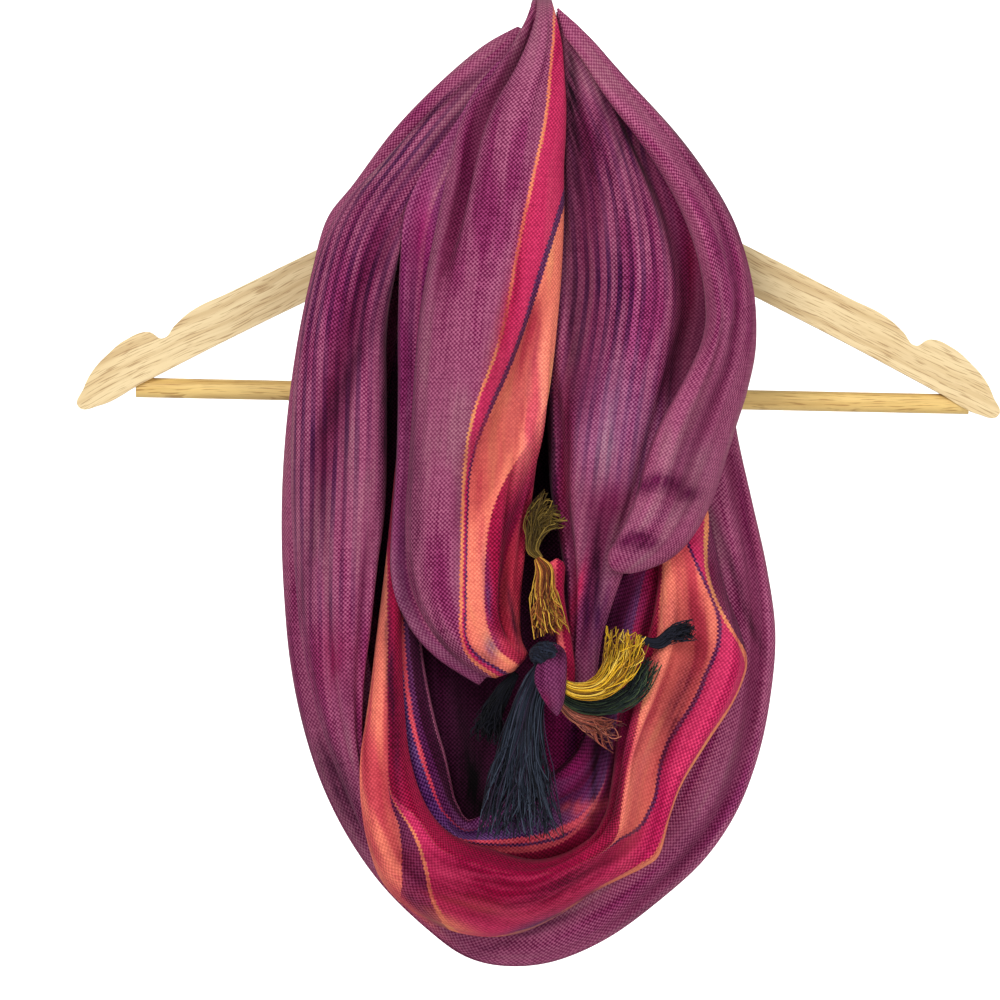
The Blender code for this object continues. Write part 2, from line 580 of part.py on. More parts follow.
def make_tassel(name, tassel, collection):
    """A tassel: strands that grow out of the end of a short bound head."""
    rng = random.Random(tassel.seed)
    tuft = bmesh.new()
    bmesh.ops.create_grid(tuft, x_segments=tassel.columns, y_segments=tassel.rows, size=0.5)
    ends = list(tuft.faces)
    root = bmesh.ops.extrude_face_region(tuft, geom=ends, use_keep_orig=True)
    head_share = HEAD_LENGTH / length_along(np.array(tassel.path, float))[-1]
    for vert in (item for item in root["geom"] if isinstance(item, bmesh.types.BMVert)):
        vert.co = Vector((vert.co.x * HEAD_TAPER, vert.co.y * HEAD_TAPER, -head_share))
    inset = min(1 / tassel.columns, 1 / tassel.rows) * STRAND_SHARE
    bmesh.ops.inset_individual(tuft, faces=ends, thickness=inset)
    for face in ends:
        reach = rng.uniform(SHORTEST_STRAND, 1.0)
        sway = Vector((rng.uniform(-1, 1) / tassel.columns, rng.uniform(-1, 1) / tassel.rows, 0))
        sway *= STRAND_SWAY / STRAND_STEPS
        tip = face
        for step in range(1, STRAND_STEPS + 1):
            grown = bmesh.ops.extrude_discrete_faces(tuft, faces=[tip])
            tip = grown["faces"][0]
            middle = tip.calc_center_median()
            for vert in tip.verts:
                shrunk = middle + (vert.co - middle) * STRAND_TAPER + sway * step
                vert.co = Vector((shrunk.x, shrunk.y, reach * step / STRAND_STEPS))
    for vert in tuft.verts:
        share = vert.co.z
        middle, across, deep = tassel_frame(tassel.path, share)
        grown = min(max(share, 0.0), 1.0)
        width = tassel.root_size[0] + (tassel.tip_size[0] - tassel.root_size[0]) * grown
        depth = tassel.root_size[1] + (tassel.tip_size[1] - tassel.root_size[1]) * grown
        vert.co = Vector(middle + across * vert.co.x * width + deep * vert.co.y * depth) * MM
    bmesh.ops.recalc_face_normals(tuft, faces=tuft.faces)
    if tuft.calc_volume(signed=True) < 0:
        bmesh.ops.reverse_faces(tuft, faces=tuft.faces)
    mesh = bpy.data.meshes.new(name)
    tuft.to_mesh(mesh)
    tuft.free()
    thing = bpy.data.objects.new(name, mesh)
    place(thing, collection, plain_material(name, tassel.colour, 0.8))
    return thing


def make_knot(collection):
    """The ball of knotted cloth and thread that gathers the ends."""
    knot = bmesh.new()
    bmesh.ops.create_uvsphere(knot, u_segments=12, v_segments=8, radius=KNOT_RADIUS * MM)
    mesh = bpy.data.meshes.new("knot")
    knot.to_mesh(mesh)
    knot.free()
    thing = bpy.data.objects.new("knot", mesh)
    thing.location = Vector(KNOT_CENTRE) * MM
    place(thing, collection, plain_material("knot", (0.02, 0.02, 0.03), 0.85))
    thing.data.shade_smooth()
    return thing


def curve_as_mesh(name, curve):
    """The closed mesh of a curve object, with its caps welded."""
    guide = bpy.data.objects.new(name + "_guide", curve)
    bpy.context.scene.collection.objects.link(guide)
    depsgraph = bpy.context.evaluated_depsgraph_get()
    mesh = bpy.data.meshes.new_from_object(guide.evaluated_get(depsgraph))
    mesh.name = name
    bpy.data.objects.remove(guide, do_unlink=True)
    welded = bmesh.new()
    welded.from_mesh(mesh)
    bmesh.ops.remove_doubles(welded, verts=welded.verts, dist=1e-6)
    welded.to_mesh(mesh)
    welded.free()
    return mesh


def round_rod(name, points, radius, radii=None, sides=4):
    """A round rod or wire along points, as a closed mesh."""
    curve = bpy.data.curves.new(name, "CURVE")
    curve.dimensions = "3D"
    curve.bevel_depth = radius * MM
    curve.bevel_resolution = sides
    curve.use_fill_caps = True
    spline = curve.splines.new("POLY")
    spline.points.add(len(points) - 1)
    for index, point in enumerate(points):
        spline.points[index].co = (*(value * MM for value in point), 1.0)
        spline.points[index].radius = radii[index] if radii else 1.0
    return curve_as_mesh(name, curve)


def arm_mesh():
    """The flat wooden bow, from its half outline and the mirrored half."""
    left = [(-x, z) for x, z in ARM_OUTLINE]
    outline = list(ARM_OUTLINE) + left[::-1]
    curve = bpy.data.curves.new("hanger_arms", "CURVE")
    curve.dimensions = "2D"
    curve.fill_mode = "BOTH"
    curve.extrude = WOOD_THICKNESS / 2 * MM
    spline = curve.splines.new("BEZIER")
    spline.bezier_points.add(len(outline) - 1)
    for point, (x, z) in zip(spline.bezier_points, outline):
        point.co = (x * MM, z * MM, 0)
        point.handle_left_type = point.handle_right_type = "AUTO"
    spline.use_cyclic_u = True
    spline.resolution_u = 2
    return curve_as_mesh("hanger_arms", curve)


def cut(thing, cutter_mesh, cutters):
    """Cut a shape out of a part."""
    cutter = bpy.data.objects.new(cutter_mesh.name, cutter_mesh)
    cutters.objects.link(cutter)
    cutter.hide_render = True
    cutter.display_type = "WIRE"
    boolean = thing.modifiers.new("cut " + cutter_mesh.name, "BOOLEAN")
    boolean.operation = "DIFFERENCE"
    boolean.solver = "EXACT"
    boolean.object = cutter


def make_hanger(collection, cutters):
    """Wooden arms, trouser bar and swivel hook."""
    wood = plain_material("hanger_arms", (0.62, 0.46, 0.27), 0.55)
    bar_wood = plain_material("hanger_bar", (0.58, 0.40, 0.18), 0.55)
    steel = plain_material("hanger_hook", (0.60, 0.60, 0.60), 0.3, metallic=1.0)

    arms = bpy.data.objects.new("hanger_arms", arm_mesh())
    place(arms, collection, wood)
    arms.rotation_euler = (math.pi / 2, WOOD_TILT, 0)
    arms.location = (0, 0, WOOD_APEX_Z * MM)
    edge = arms.modifiers.new("rounded edge", "BEVEL")
    edge.width = WOOD_EDGE_ROUND * MM
    edge.segments = 1
    edge.limit_method = "ANGLE"
    edge.angle_limit = math.radians(50)

    ends = [Vector((BAR_LEFT_END[0], 0, BAR_LEFT_END[1])),
            Vector((BAR_RIGHT_END[0], 0, BAR_RIGHT_END[1]))]
    bar = bpy.data.objects.new("hanger_bar", round_rod("hanger_bar", ends, BAR_RADIUS))
    place(bar, collection, bar_wood)
    bar.data.shade_smooth()
    lean = (ends[1] - ends[0]).normalized() * SOCKET_GAP
    socket = [ends[0] - lean, ends[1] + lean]
    cut(arms, round_rod("bar_socket", socket, BAR_RADIUS + SOCKET_GAP), cutters)

    centre_z = WIRE_RADIUS - HOOK_RADIUS
    wire = [Vector((0, 0, SHANK_FOOT_Z)), Vector((0, 0, SHANK_BEND_Z))]
    for turn in HOOK_TURN:
        angle = math.radians(turn)
        wire.append(Vector((0, HOOK_RADIUS * math.cos(angle),
                            centre_z + HOOK_RADIUS * math.sin(angle))))
    bend = [wire[1].lerp(wire[2], share / 4) + Vector((0, sway, 0))
            for share, sway in ((1, -SHANK_SWAY), (2, 0.0), (3, SHANK_SWAY))]
    wire[2:2] = bend
    radii = [1.0] * (len(wire) - len(TIP_TAPER)) + TIP_TAPER
    hook = bpy.data.objects.new("hanger_hook", round_rod("hanger_hook", wire, WIRE_RADIUS, radii, 2))
    place(hook, collection, steel)
    hook.data.shade_smooth()
    foot = [Vector((0, 0, SHANK_FOOT_Z - SOCKET_GAP)), Vector((0, 0, SHANK_BEND_Z))]
    cut(arms, round_rod("shank_socket", foot, WIRE_RADIUS + SOCKET_GAP, sides=3), cutters)
    return [arms, bar, hook]


def make_shawl():
    """The whole model."""
    remove_all()
    collection = new_collection("shawl_on_hanger")
    cutters = new_collection("cutters")
    make_hanger(collection, cutters)
    bpy.context.view_layer.update()
    finished = {}
    for name, stretch in STRETCHES.items():
        behind = [finished[carrier] for carrier in stretch.rests_on]
        cloth = make_stretch(name, stretch, collection, behind)
        finished[name] = solid_tree(cloth)
    make_knot(collection)
    for name, tassel in TASSELS.items():
        make_tassel(name, tassel, collection)


make_shawl()
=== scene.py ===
"""Looks of the handwoven shawl on its wooden coat hanger.

The cloth is drawn again from the part's own tables on a finer grid, with its stripes, fine
creases and threads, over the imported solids. Same frame: +Z up, -Y towards the viewer. Shape
tables are in millimetres. Stripe lines and painted patches are in photograph pixels, which
from_photo turns into millimetres.
"""
import math
import random
from collections import namedtuple

import bmesh
import bpy
import numpy as np
from mathutils import Euler, Matrix, Vector
from mathutils.bvhtree import BVHTree


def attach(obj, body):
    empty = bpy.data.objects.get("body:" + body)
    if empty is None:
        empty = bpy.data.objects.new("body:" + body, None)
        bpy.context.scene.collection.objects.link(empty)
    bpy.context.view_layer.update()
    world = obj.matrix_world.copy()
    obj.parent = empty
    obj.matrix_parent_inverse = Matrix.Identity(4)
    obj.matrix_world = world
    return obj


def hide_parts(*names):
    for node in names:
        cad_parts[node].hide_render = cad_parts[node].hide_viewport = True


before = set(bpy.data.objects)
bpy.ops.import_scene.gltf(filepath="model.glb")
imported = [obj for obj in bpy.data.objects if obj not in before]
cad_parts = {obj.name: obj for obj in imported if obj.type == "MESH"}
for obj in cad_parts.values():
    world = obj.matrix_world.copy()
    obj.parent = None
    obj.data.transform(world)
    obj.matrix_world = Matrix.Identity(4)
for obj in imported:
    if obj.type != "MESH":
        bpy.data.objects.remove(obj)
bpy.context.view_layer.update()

# A millimetre in metres, a pixel of the photograph in millimetres, the photograph's column at
# x 0 and the z of its top edge
MM = 0.001
PIXEL = 0.484
PHOTO_CENTRE_X = 541
PHOTO_TOP_Z = 8.0

# The part's own cloth values: wall, gap behind it, power that squares a section off, rounds
# that spread a push, share of the stretch over which a fold starts and ends, length that a turn
# of one radian counts for when rows are placed, and where across a stretch its front lies
CLOTH_WALL = 1.6
CLOTH_GAP = 0.9
SECTION_ROUNDNESS = 0.85
SETTLE_ROUNDS = 5
FOLD_FADE = 0.12
TURN_WEIGHT = 45.0
FRONT_SHARE = 0.66

# The finer cloth: wall, gap behind it, grid pitch, thread pitch, fine creases per grid column,
# rows that a stripe's line is smoothed over on each side, fold depth at which a hollow's painted
# shade is full, and the share of its width that a rounded end keeps
SHOWN_WALL = 1.2
SHOWN_GAP = 0.3
GRID_PITCH = 2.0
THREAD_PITCH = 4.4 * PIXEL
CREASES_PER_COLUMN = 0.6
LINE_SMOOTHING = 4
HOLLOW_DEPTH = 3.2
TIP_SHARE = 0.12

# Hanger: wooden arms, bar and wire hook, with the shares of its radius that the wire narrows to
# at its tip. Turns are in degrees from the hook's +Y side.
WOOD_THICKNESS = 12.0
WOOD_EDGE_ROUND = 1.5
WOOD_APEX_Z = -61.0
WOOD_TILT = math.radians(0.55)
ARM_SLOPE = 0.49
BAR_RADIUS = 4.8
BAR_LEFT_END = (-196.0, -179.5)
BAR_RIGHT_END = (207.0, -187.7)
WIRE_RADIUS = 2.0
WIRE_TIP = [0.95, 0.8, 0.45]
HOOK_RADIUS = 20.0
SHANK_FOOT_Z = -74.0
SHANK_BEND_Z = -52.0
SHANK_SWAY = 1.4
HOOK_START_TURN = -40
HOOK_END_TURN = 200
HOOK_TURN_STEP = 6

Fold = namedtuple("Fold", "start end across_start across_end height width")
Stretch = namedtuple("Stretch", "stations folds arc rests_on rows columns")
Tassel = namedtuple("Tassel", "source path root_size tip_size count shades stray parting")
Line = namedtuple("Line", "colour path")
Patch = namedtuple("Patch", "x y across along turn colour amount")
Finish = namedtuple("Finish", "lines creases patches dashes ripple")


def linear(red, green, blue):
    """A screen colour, 0 to 255 a channel, as the shader's linear values."""
    return tuple(c / 12.92 if c <= 0.04045 else ((c + 0.055) / 1.055) ** 2.4
                 for c in (red / 255, green / 255, blue / 255))


# Dyes of the cloth, and colours of painted shade and painted light among them
MAUVE = linear(158, 74, 108)
DEEP_MAUVE = linear(112, 32, 74)
MAGENTA = linear(138, 14, 74)
CRIMSON = linear(160, 16, 62)
RASPBERRY = linear(200, 46, 92)
ORANGE = linear(240, 130, 100)
AMBER = linear(234, 140, 92)
CORAL = linear(222, 80, 90)
VIOLET = linear(92, 32, 84)
BLUE_VIOLET = linear(86, 50, 110)
PLUM = linear(64, 12, 46)
# Painted shade: near black for gaps, deep creases and cloth under other layers
SHADE_DARK = linear(24, 3, 18)
# Real selvedge threads at the rim's edge, and painted highlight down the front of the side strip
SELVEDGE_AND_HIGHLIGHT = linear(176, 96, 124)
# Painted light: lighter greyish mauve for lit ridges and lit crescents
PAINTED_LIGHT_MAUVE = linear(160, 88, 116)
SHADOW = linear(62, 10, 44)
LILAC_GREY = linear(158, 100, 134)
WINE = linear(96, 8, 52)

# Sections of each stretch in rows of x and z of the outer edge, x and z of the inner edge, y of
# the outer and the inner edge, and bulge to the front and to the back
LOOP_OUTER = [
    (-10, -5, 2, -15, -28, -28, 4, 3), (-22, -11, -8, -25, -28, -28, 7, 5),
    (-42, -27, -22, -47, -27, -27, 9, 8), (-61, -44, -34, -70, -26, -26, 11, 10),
    (-90, -81, -53, -106, -25, -25, 13, 12), (-103, -98, -60, -124, -25, -25, 14, 13),
    (-109, -118, -65, -146, -24, -24, 15, 14), (-121, -181, -71, -203, -24, -24, 16, 14),
    (-125, -232, -74, -245, -24, -24, 16, 14), (-124, -280, -74, -285, -24, -24, 16, 14),
    (-118, -330, -68, -325, -24, -25, 16, 14), (-105, -373, -56, -357, -24, -26, 16, 14),
    (-80, -416, -40, -385, -25, -27, 16, 14), (-54, -442, -24, -399, -26, -28, 16, 14),
    (-30, -457, -8, -407, -27, -29, 15, 14), (-8, -459, 4, -409, -27, -29, 15, 14),
    (18, -453, 15, -405, -27, -29, 15, 14), (47, -434, 29, -395, -26, -28, 16, 14),
    (77, -407, 43, -373, -25, -27, 16, 14), (96, -376, 54, -347, -24, -26, 16, 14),
    (106, -340, 60, -318, -24, -25, 16, 14), (111, -298, 62, -285, -24, -24, 16, 14),
    (106, -257, 61, -247, -24, -24, 16, 14), (96, -212, 57, -203, -24, -24, 16, 14),
    (88, -160, 50, -150, -24, -24, 15, 13), (80, -112, 42, -103, -25, -25, 13, 12),
    (62, -70, 30, -66, -26, -26, 11, 10), (38, -36, 18, -40, -27, -27, 8, 7),
    (24, -18, 12, -27, -28, -28, 5, 4), (17, -7, 6, -16, -28, -28, 4, 3),
]
LOOP_OUTER_FOLDS = [
    Fold(0.05, 0.60, 0.16, 0.12, -8.0, 0.070),
    Fold(0.42, 0.96, 0.10, 0.22, -8.5, 0.070),
    Fold(0.08, 0.45, 0.34, 0.40, -8.5, 0.070),
    Fold(0.30, 0.93, 0.42, 0.33, -8.0, 0.070),
    Fold(0.20, 0.80, 0.24, 0.26, 3.0, 0.060),
    Fold(0.50, 0.90, 0.70, 0.76, -3.5, 0.070),
    Fold(0.52, 0.80, 0.62, 0.58, 2.5, 0.060),
]

LOOP_BACK = [
    (-22, -47, 16, -45, -31, -31, -2, 0), (-42, -84, 36, -80, -31, -31, -8, 0),
    (-60, -125, 50, -120, -31, -31, -11, 0), (-72, -180, 58, -175, -31, -31, -13, 0),
    (-78, -240, 64, -235, -31, -31, -14, 0), (-78, -290, 66, -285, -31, -31, -14, 0),
    (-69, -335, 62, -328, -32, -32, -14, 0), (-55, -368, 50, -362, -32, -32, -12, 0),
    (-38, -394, 34, -388, -32, -32, -8, 0), (-22, -411, 22, -407, -31, -31, -2, 0),
]
LOOP_BACK_FOLDS = [
    Fold(0.02, 0.98, 0.32, 0.24, 7.0, 0.075),
    Fold(0.02, 0.70, 0.50, 0.42, 6.0, 0.075),
    Fold(0.30, 0.98, 0.55, 0.60, 7.5, 0.075),
    Fold(0.02, 0.90, 0.70, 0.78, 6.0, 0.075),
]

LOOP_INNER = [
    (-70, -219, -61, -219, -42.3, -40.3, 4, 0), (-72, -253, -61, -253, -42.3, -40.3, 5, 0),
    (-73, -287, -59, -286, -42, -39, 6, 0), (-72, -316, -56, -314, -42, -38, 7, 0),
    (-69, -343, -51, -339, -42, -38, 8, 0), (-63, -369, -45, -360, -43, -38, 8, 0),
    (-54, -389, -41, -378, -44, -39, 8, 0), (-42, -401, -34, -388, -46, -41, 8, 0),
    (-27, -408, -23, -382, -47, -42, 8, 0), (-9, -412, -9, -373, -47, -42, 9, 0),
    (8, -411, 5, -365, -47, -42, 9, 0), (24, -404, 16, -355, -46, -41, 9, 0),
    (34, -390, 22, -343, -45, -41, 9, 0), (40, -370, 25, -328, -44, -41, 9, 0),
    (45, -348, 27, -312, -44, -41, 9, 0), (52, -322, 28, -292, -44, -41, 9, 0),
    (58, -296, 32, -272, -44, -41, 9, 0), (62, -268, 38, -256, -44, -42, 8, 0),
    (60, -246, 42, -240, -44, -43, 6, 0),
]
LOOP_INNER_FOLDS = [
    Fold(0.38, 0.97, 0.26, 0.30, -3.5, 0.065),
    Fold(0.34, 0.99, 0.42, 0.44, 2.5, 0.060),
    Fold(0.36, 0.97, 0.58, 0.60, -3.5, 0.065),
    Fold(0.40, 0.99, 0.76, 0.76, 2.5, 0.060),
]

LOOP_BOWL = [
    (-69, -207, -63, -207, -46, -46, 5, 0), (-72, -236, -65, -236, -46, -46, 7, 0),
    (-75, -265, -66, -265, -46, -46, 9, 0), (-79, -298, -67, -297, -46, -46, 11, 0),
    (-83, -331, -66, -331, -46, -47, 14, 0), (-87, -361, -63, -358, -46, -48, 15, 0),
    (-85, -391, -56, -379, -45, -51, 16, 0), (-76, -418, -46, -392, -45, -54, 18, 0),
    (-62, -432, -36, -398, -44, -57, 20, 0), (-43, -441, -22, -402, -44, -59, 21, 0),
    (-21, -444, -7, -406, -44, -60, 22, 0), (2, -438, 6, -405, -44, -60, 21, 0),
    (21, -425, 17, -400, -44, -59, 20, 0), (39, -416, 25, -394, -44, -58, 18, 0),
    (56, -406, 31, -382, -44, -57, 17, 0), (62, -387, 34, -365, -44, -56, 17, 0),
    (70, -367, 36, -348, -44, -55, 18, 0), (83, -347, 39, -333, -44, -55, 18, 0),
    (95, -327, 44, -318, -44, -55, 18, 0), (99, -309, 50, -303, -44, -54, 17, 0),
    (94, -292, 54, -287, -44, -53, 15, 0), (88, -275, 56, -270, -44, -52, 12, 0),
    (84, -256, 55, -251, -44, -50, 9, 0), (80, -238, 53, -233, -44, -48, 6, 0),
]
LOOP_BOWL_FOLDS = [
    Fold(0.18, 0.58, 0.50, 0.30, -2.5, 0.080),
    Fold(0.55, 0.99, 0.46, 0.52, -5.0, 0.080),
    Fold(0.58, 0.97, 0.64, 0.70, 3.5, 0.070),
    Fold(0.52, 0.97, 0.80, 0.84, -3.5, 0.060),
    Fold(0.62, 0.97, 0.26, 0.30, 2.5, 0.070),
]

LOOP_FRONT = [
    (-11, -8, -5, -15, -33, -33, 3, 0), (-19, -15, -12, -25, -33, -34, 4, 0),
    (-35, -30, -26, -41, -33, -36, 6, 0), (-52, -45, -37, -58, -33, -39, 8, 0),
    (-69, -64, -48, -75, -34, -42, 10, 0), (-85, -80, -58, -93, -35, -45, 12, 0),
    (-98, -96, -66, -112, -36, -47, 13, 0), (-106, -114, -71, -131, -37, -48, 14, 0),
    (-113, -141, -74, -153, -38, -49, 15, 0), (-118, -173, -74, -182, -38, -50, 16, 0),
    (-120, -206, -74, -210, -38, -50, 16, 0), (-120, -239, -75, -239, -38, -50, 16, 0),
    (-118, -273, -79, -269, -38, -50, 15, 0), (-115, -302, -82, -298, -38, -49, 14, 0),
    (-109, -331, -85, -327, -38, -47, 12, 0), (-101, -357, -85, -354, -39, -46, 9, 0),
    (-92, -379, -82, -377, -40, -46, 6, 0), (-84, -398, -76, -396, -41, -46, 4, 0),
]
LOOP_FRONT_FOLDS = [
    Fold(0.22, 0.66, 0.72, 0.34, -3.0, 0.080),
    Fold(0.10, 0.50, 0.42, 0.40, 2.0, 0.070),
    Fold(0.60, 0.98, 0.74, 0.72, -2.5, 0.080),
]

END_SIDE = [
    (-18, -20, -12, -29, -38, -40, 2, 0), (-30, -34, -21, -46, -40, -44, 3, 0),
    (-40, -51, -30, -62, -42, -48, 4, 0), (-50, -66, -35, -78, -44, -51, 5, 0),
    (-59, -80, -39, -92, -46, -53, 6, 0), (-66, -100, -43, -107, -48, -54, 6, 0),
    (-68, -121, -46, -123, -49, -55, 6, 0), (-69, -152, -49, -152, -50, -56, 7, 0),
    (-69, -186, -51, -186, -51, -56, 7, 0), (-70, -220, -54, -220, -54, -57, 7, 0),
    (-72, -248, -56, -248, -55, -58, 7, 0), (-72, -271, -54, -270, -54, -58, 7, 0),
    (-67, -289, -49, -285, -50, -56, 6, 0), (-58, -303, -42, -296, -51, -57, 5, 0),
    (-45, -314, -32, -304, -52, -58, 5, 0), (-30, -323, -20, -312, -53, -58, 4, 0),
]
END_SIDE_FOLDS = [
    Fold(0.20, 0.95, 0.45, 0.45, -2.0, 0.110),
]

END_RIGHT = [
    (17, -8, 8, -6, -32.6, -33, 2, 0), (23, -16, 9, -13, -32.6, -34, 5, 0),
    (34, -31, 8, -22, -33.6, -35, 9, 0), (49, -51, 7, -39, -36, -36, 13, 0),
    (63, -71, 6, -58, -38, -38, 16, 0), (75, -93, 5, -79, -40, -41, 18, 0),
    (83, -115, 4, -103, -41, -43, 20, 0), (86, -140, 3, -132, -42, -45, 21, 0),
    (81, -161, 2, -159, -42, -47, 21, 0), (73, -186, 2, -183, -44, -49, 21, 0),
    (66, -207, 3, -205, -47, -51, 20, 0), (60, -226, 4, -227, -51, -53, 18, 0),
    (51, -244, 7, -246, -55, -55, 15, 0), (43, -260, 10, -263, -57, -56, 12, 0),
    (36, -278, 12, -280, -57, -57, 10, 0), (30, -296, 13, -297, -57, -58, 7, 0),
    (27, -316, 13, -316, -57, -58, 6, 0), (25, -334, 14, -334, -57, -58, 4, 0),
]
END_RIGHT_FOLDS = [
    Fold(0.08, 0.62, 0.36, 0.22, -8.0, 0.080),
    Fold(0.06, 0.60, 0.52, 0.46, 3.5, 0.090),
    Fold(0.10, 0.66, 0.66, 0.64, -4.0, 0.080),
    Fold(0.50, 0.98, 0.84, 0.76, -5.0, 0.080),
    Fold(0.66, 0.99, 0.50, 0.50, -3.5, 0.090),
]

END_LEFT = [
    (-4, 3.6, 4, 3.6, 12, 12, 1, 0), (-4, 7.1, 4, 7.1, 4, 4, 1, 0), (-4, 8.6, 5, 8.6, -8, -8, 1, 0),
    (-4, 7.6, 5, 7.6, -20, -20, 2, 0), (-5, 4, 6, 4, -31, -31, 3, 0),
    (-8, -4, 8, -4, -36, -36, 6, 0), (-13, -13, 10, -14, -38, -37, 9, 0),
    (-21, -26, 11, -27, -42, -40, 12, 0), (-31, -39, 12, -40, -45, -43, 16, 0),
    (-38, -52, 12, -55, -48, -46, 19, 0), (-43, -70, 11, -73, -51, -49, 22, 0),
    (-48, -92, 11, -94, -53, -51, 24, 0), (-53, -115, 10, -118, -54, -52, 26, 0),
    (-58, -142, 8, -145, -55, -53, 27, 0), (-61, -176, 4, -176, -56, -54, 28, 0),
    (-63, -210, -1, -208, -56, -55, 28, 0), (-65, -243, -5, -238, -56, -56, 27, 0),
    (-64, -266, -8, -262, -56, -57, 25, 0), (-58, -287, -10, -282, -57, -58, 22, 0),
    (-47, -304, -10, -296, -58, -59, 18, 0), (-34, -315, -8, -305, -60, -62, 13, 0),
    (-21, -322, -5, -309.5, -62, -67, 8, 0),
]
END_LEFT_FOLDS = [
    Fold(0.20, 0.58, 0.30, 0.20, -7.0, 0.075),
    Fold(0.16, 0.46, 0.46, 0.50, 3.0, 0.090),
    Fold(0.52, 0.80, 0.82, 0.46, -7.0, 0.075),
    Fold(0.56, 0.93, 0.92, 0.62, 3.0, 0.080),
    Fold(0.68, 0.99, 0.80, 0.76, -7.0, 0.075),
]

END_LOBE = [
    (17, -5, 11, -11, -38, -39, 3, 0), (26, -14, 19, -22, -38, -43, 4, 0),
    (39, -29, 31, -41, -39.5, -48.8, 6, 0), (54, -45, 44, -58, -39, -54, 9, 0),
    (68, -61, 57, -77, -38, -55, 12, 0), (81, -79, 67, -96, -38, -59, 15, 0),
    (92, -98, 74, -115, -38, -61, 18, 0), (99, -119, 78, -135, -39, -63, 20, 0),
    (103, -143, 78, -153, -39, -65, 21, 0), (102, -169, 71, -171, -40, -67, 22, 0),
    (96, -191, 61, -189, -42, -69, 21, 0), (90, -211, 53, -205, -44, -70, 20, 0),
    (85, -227, 48, -220, -46, -71, 19, 0), (79, -241, 44, -235, -49, -72, 17, 0),
    (70, -255, 37, -250, -53, -72, 15, 0), (58, -265, 31, -260, -58, -72, 12, 0),
    (45, -272, 27, -266, -63, -72, 9, 0),
]
END_LOBE_FOLDS = [
    Fold(0.10, 0.62, 0.62, 0.66, 3.0, 0.080),
    Fold(0.46, 0.94, 0.46, 0.42, -3.0, 0.090),
    Fold(0.66, 0.98, 0.66, 0.62, 2.5, 0.080),
]

# Narrow cloth at the knot
KNOT_BAND = [
    (3, -262, 12, -262, -66, -63, 3, 0), (4, -280, 11, -280, -68, -65, 3, 0),
    (6.7, -298, 14, -297, -70, -67, 3, 0), (8, -312, 16, -311, -71, -68, 3, 0),
    (9, -326, 16, -326, -71, -69, 3, 0),
]
KNOT_POINT = [
    (0, -306, 10, -300, -79.4, -79.4, 2, 0), (-3, -315, 12, -309, -82, -82, 2, 0),
    (-3, -322, 12, -319, -84, -83, 3, 0), (1, -330, 11, -330, -83, -82, 3, 0),
    (5, -337, 10, -337, -82, -82, 2, 0),
]

# Arc of the round section that a stretch covers, in degrees
WHOLE_FRONT = (180, 0)
TURNED_BACK = (345, 62)

# Back to front: a stretch settles on the stretches that it names, which come before it
STRETCHES = {
    "loop_outer": Stretch(LOOP_OUTER, LOOP_OUTER_FOLDS, TURNED_BACK, [], 38, 18),
    "loop_back": Stretch(LOOP_BACK, LOOP_BACK_FOLDS, WHOLE_FRONT, [], 15, 15),
    "loop_inner": Stretch(LOOP_INNER, LOOP_INNER_FOLDS, WHOLE_FRONT, ["loop_outer"], 28, 10),
    "loop_front": Stretch(LOOP_FRONT, LOOP_FRONT_FOLDS, WHOLE_FRONT,
                          ["loop_outer", "loop_inner"], 26, 10),
    "loop_bowl": Stretch(LOOP_BOWL, LOOP_BOWL_FOLDS, WHOLE_FRONT,
                         ["loop_outer", "loop_inner", "loop_front"], 34, 12),
    "end_side": Stretch(END_SIDE, END_SIDE_FOLDS, WHOLE_FRONT,
                        ["loop_outer", "loop_inner", "loop_front", "loop_bowl"], 20, 7),
    "end_right": Stretch(END_RIGHT, END_RIGHT_FOLDS, WHOLE_FRONT,
                         ["loop_outer", "loop_inner", "loop_bowl"], 23, 13),
    "end_left": Stretch(END_LEFT, END_LEFT_FOLDS, WHOLE_FRONT,
                        ["loop_outer", "loop_inner", "loop_front", "loop_bowl", "end_side",
                         "end_right"], 29, 14),
    "end_lobe": Stretch(END_LOBE, END_LOBE_FOLDS, WHOLE_FRONT,
                        ["loop_outer", "loop_inner", "loop_bowl", "end_right"], 24, 10),
    "knot_band": Stretch(KNOT_BAND, [], WHOLE_FRONT, ["end_right"], 8, 5),
    "knot_point": Stretch(KNOT_POINT, [], WHOLE_FRONT, ["end_right", "knot_band"], 7, 6),
}

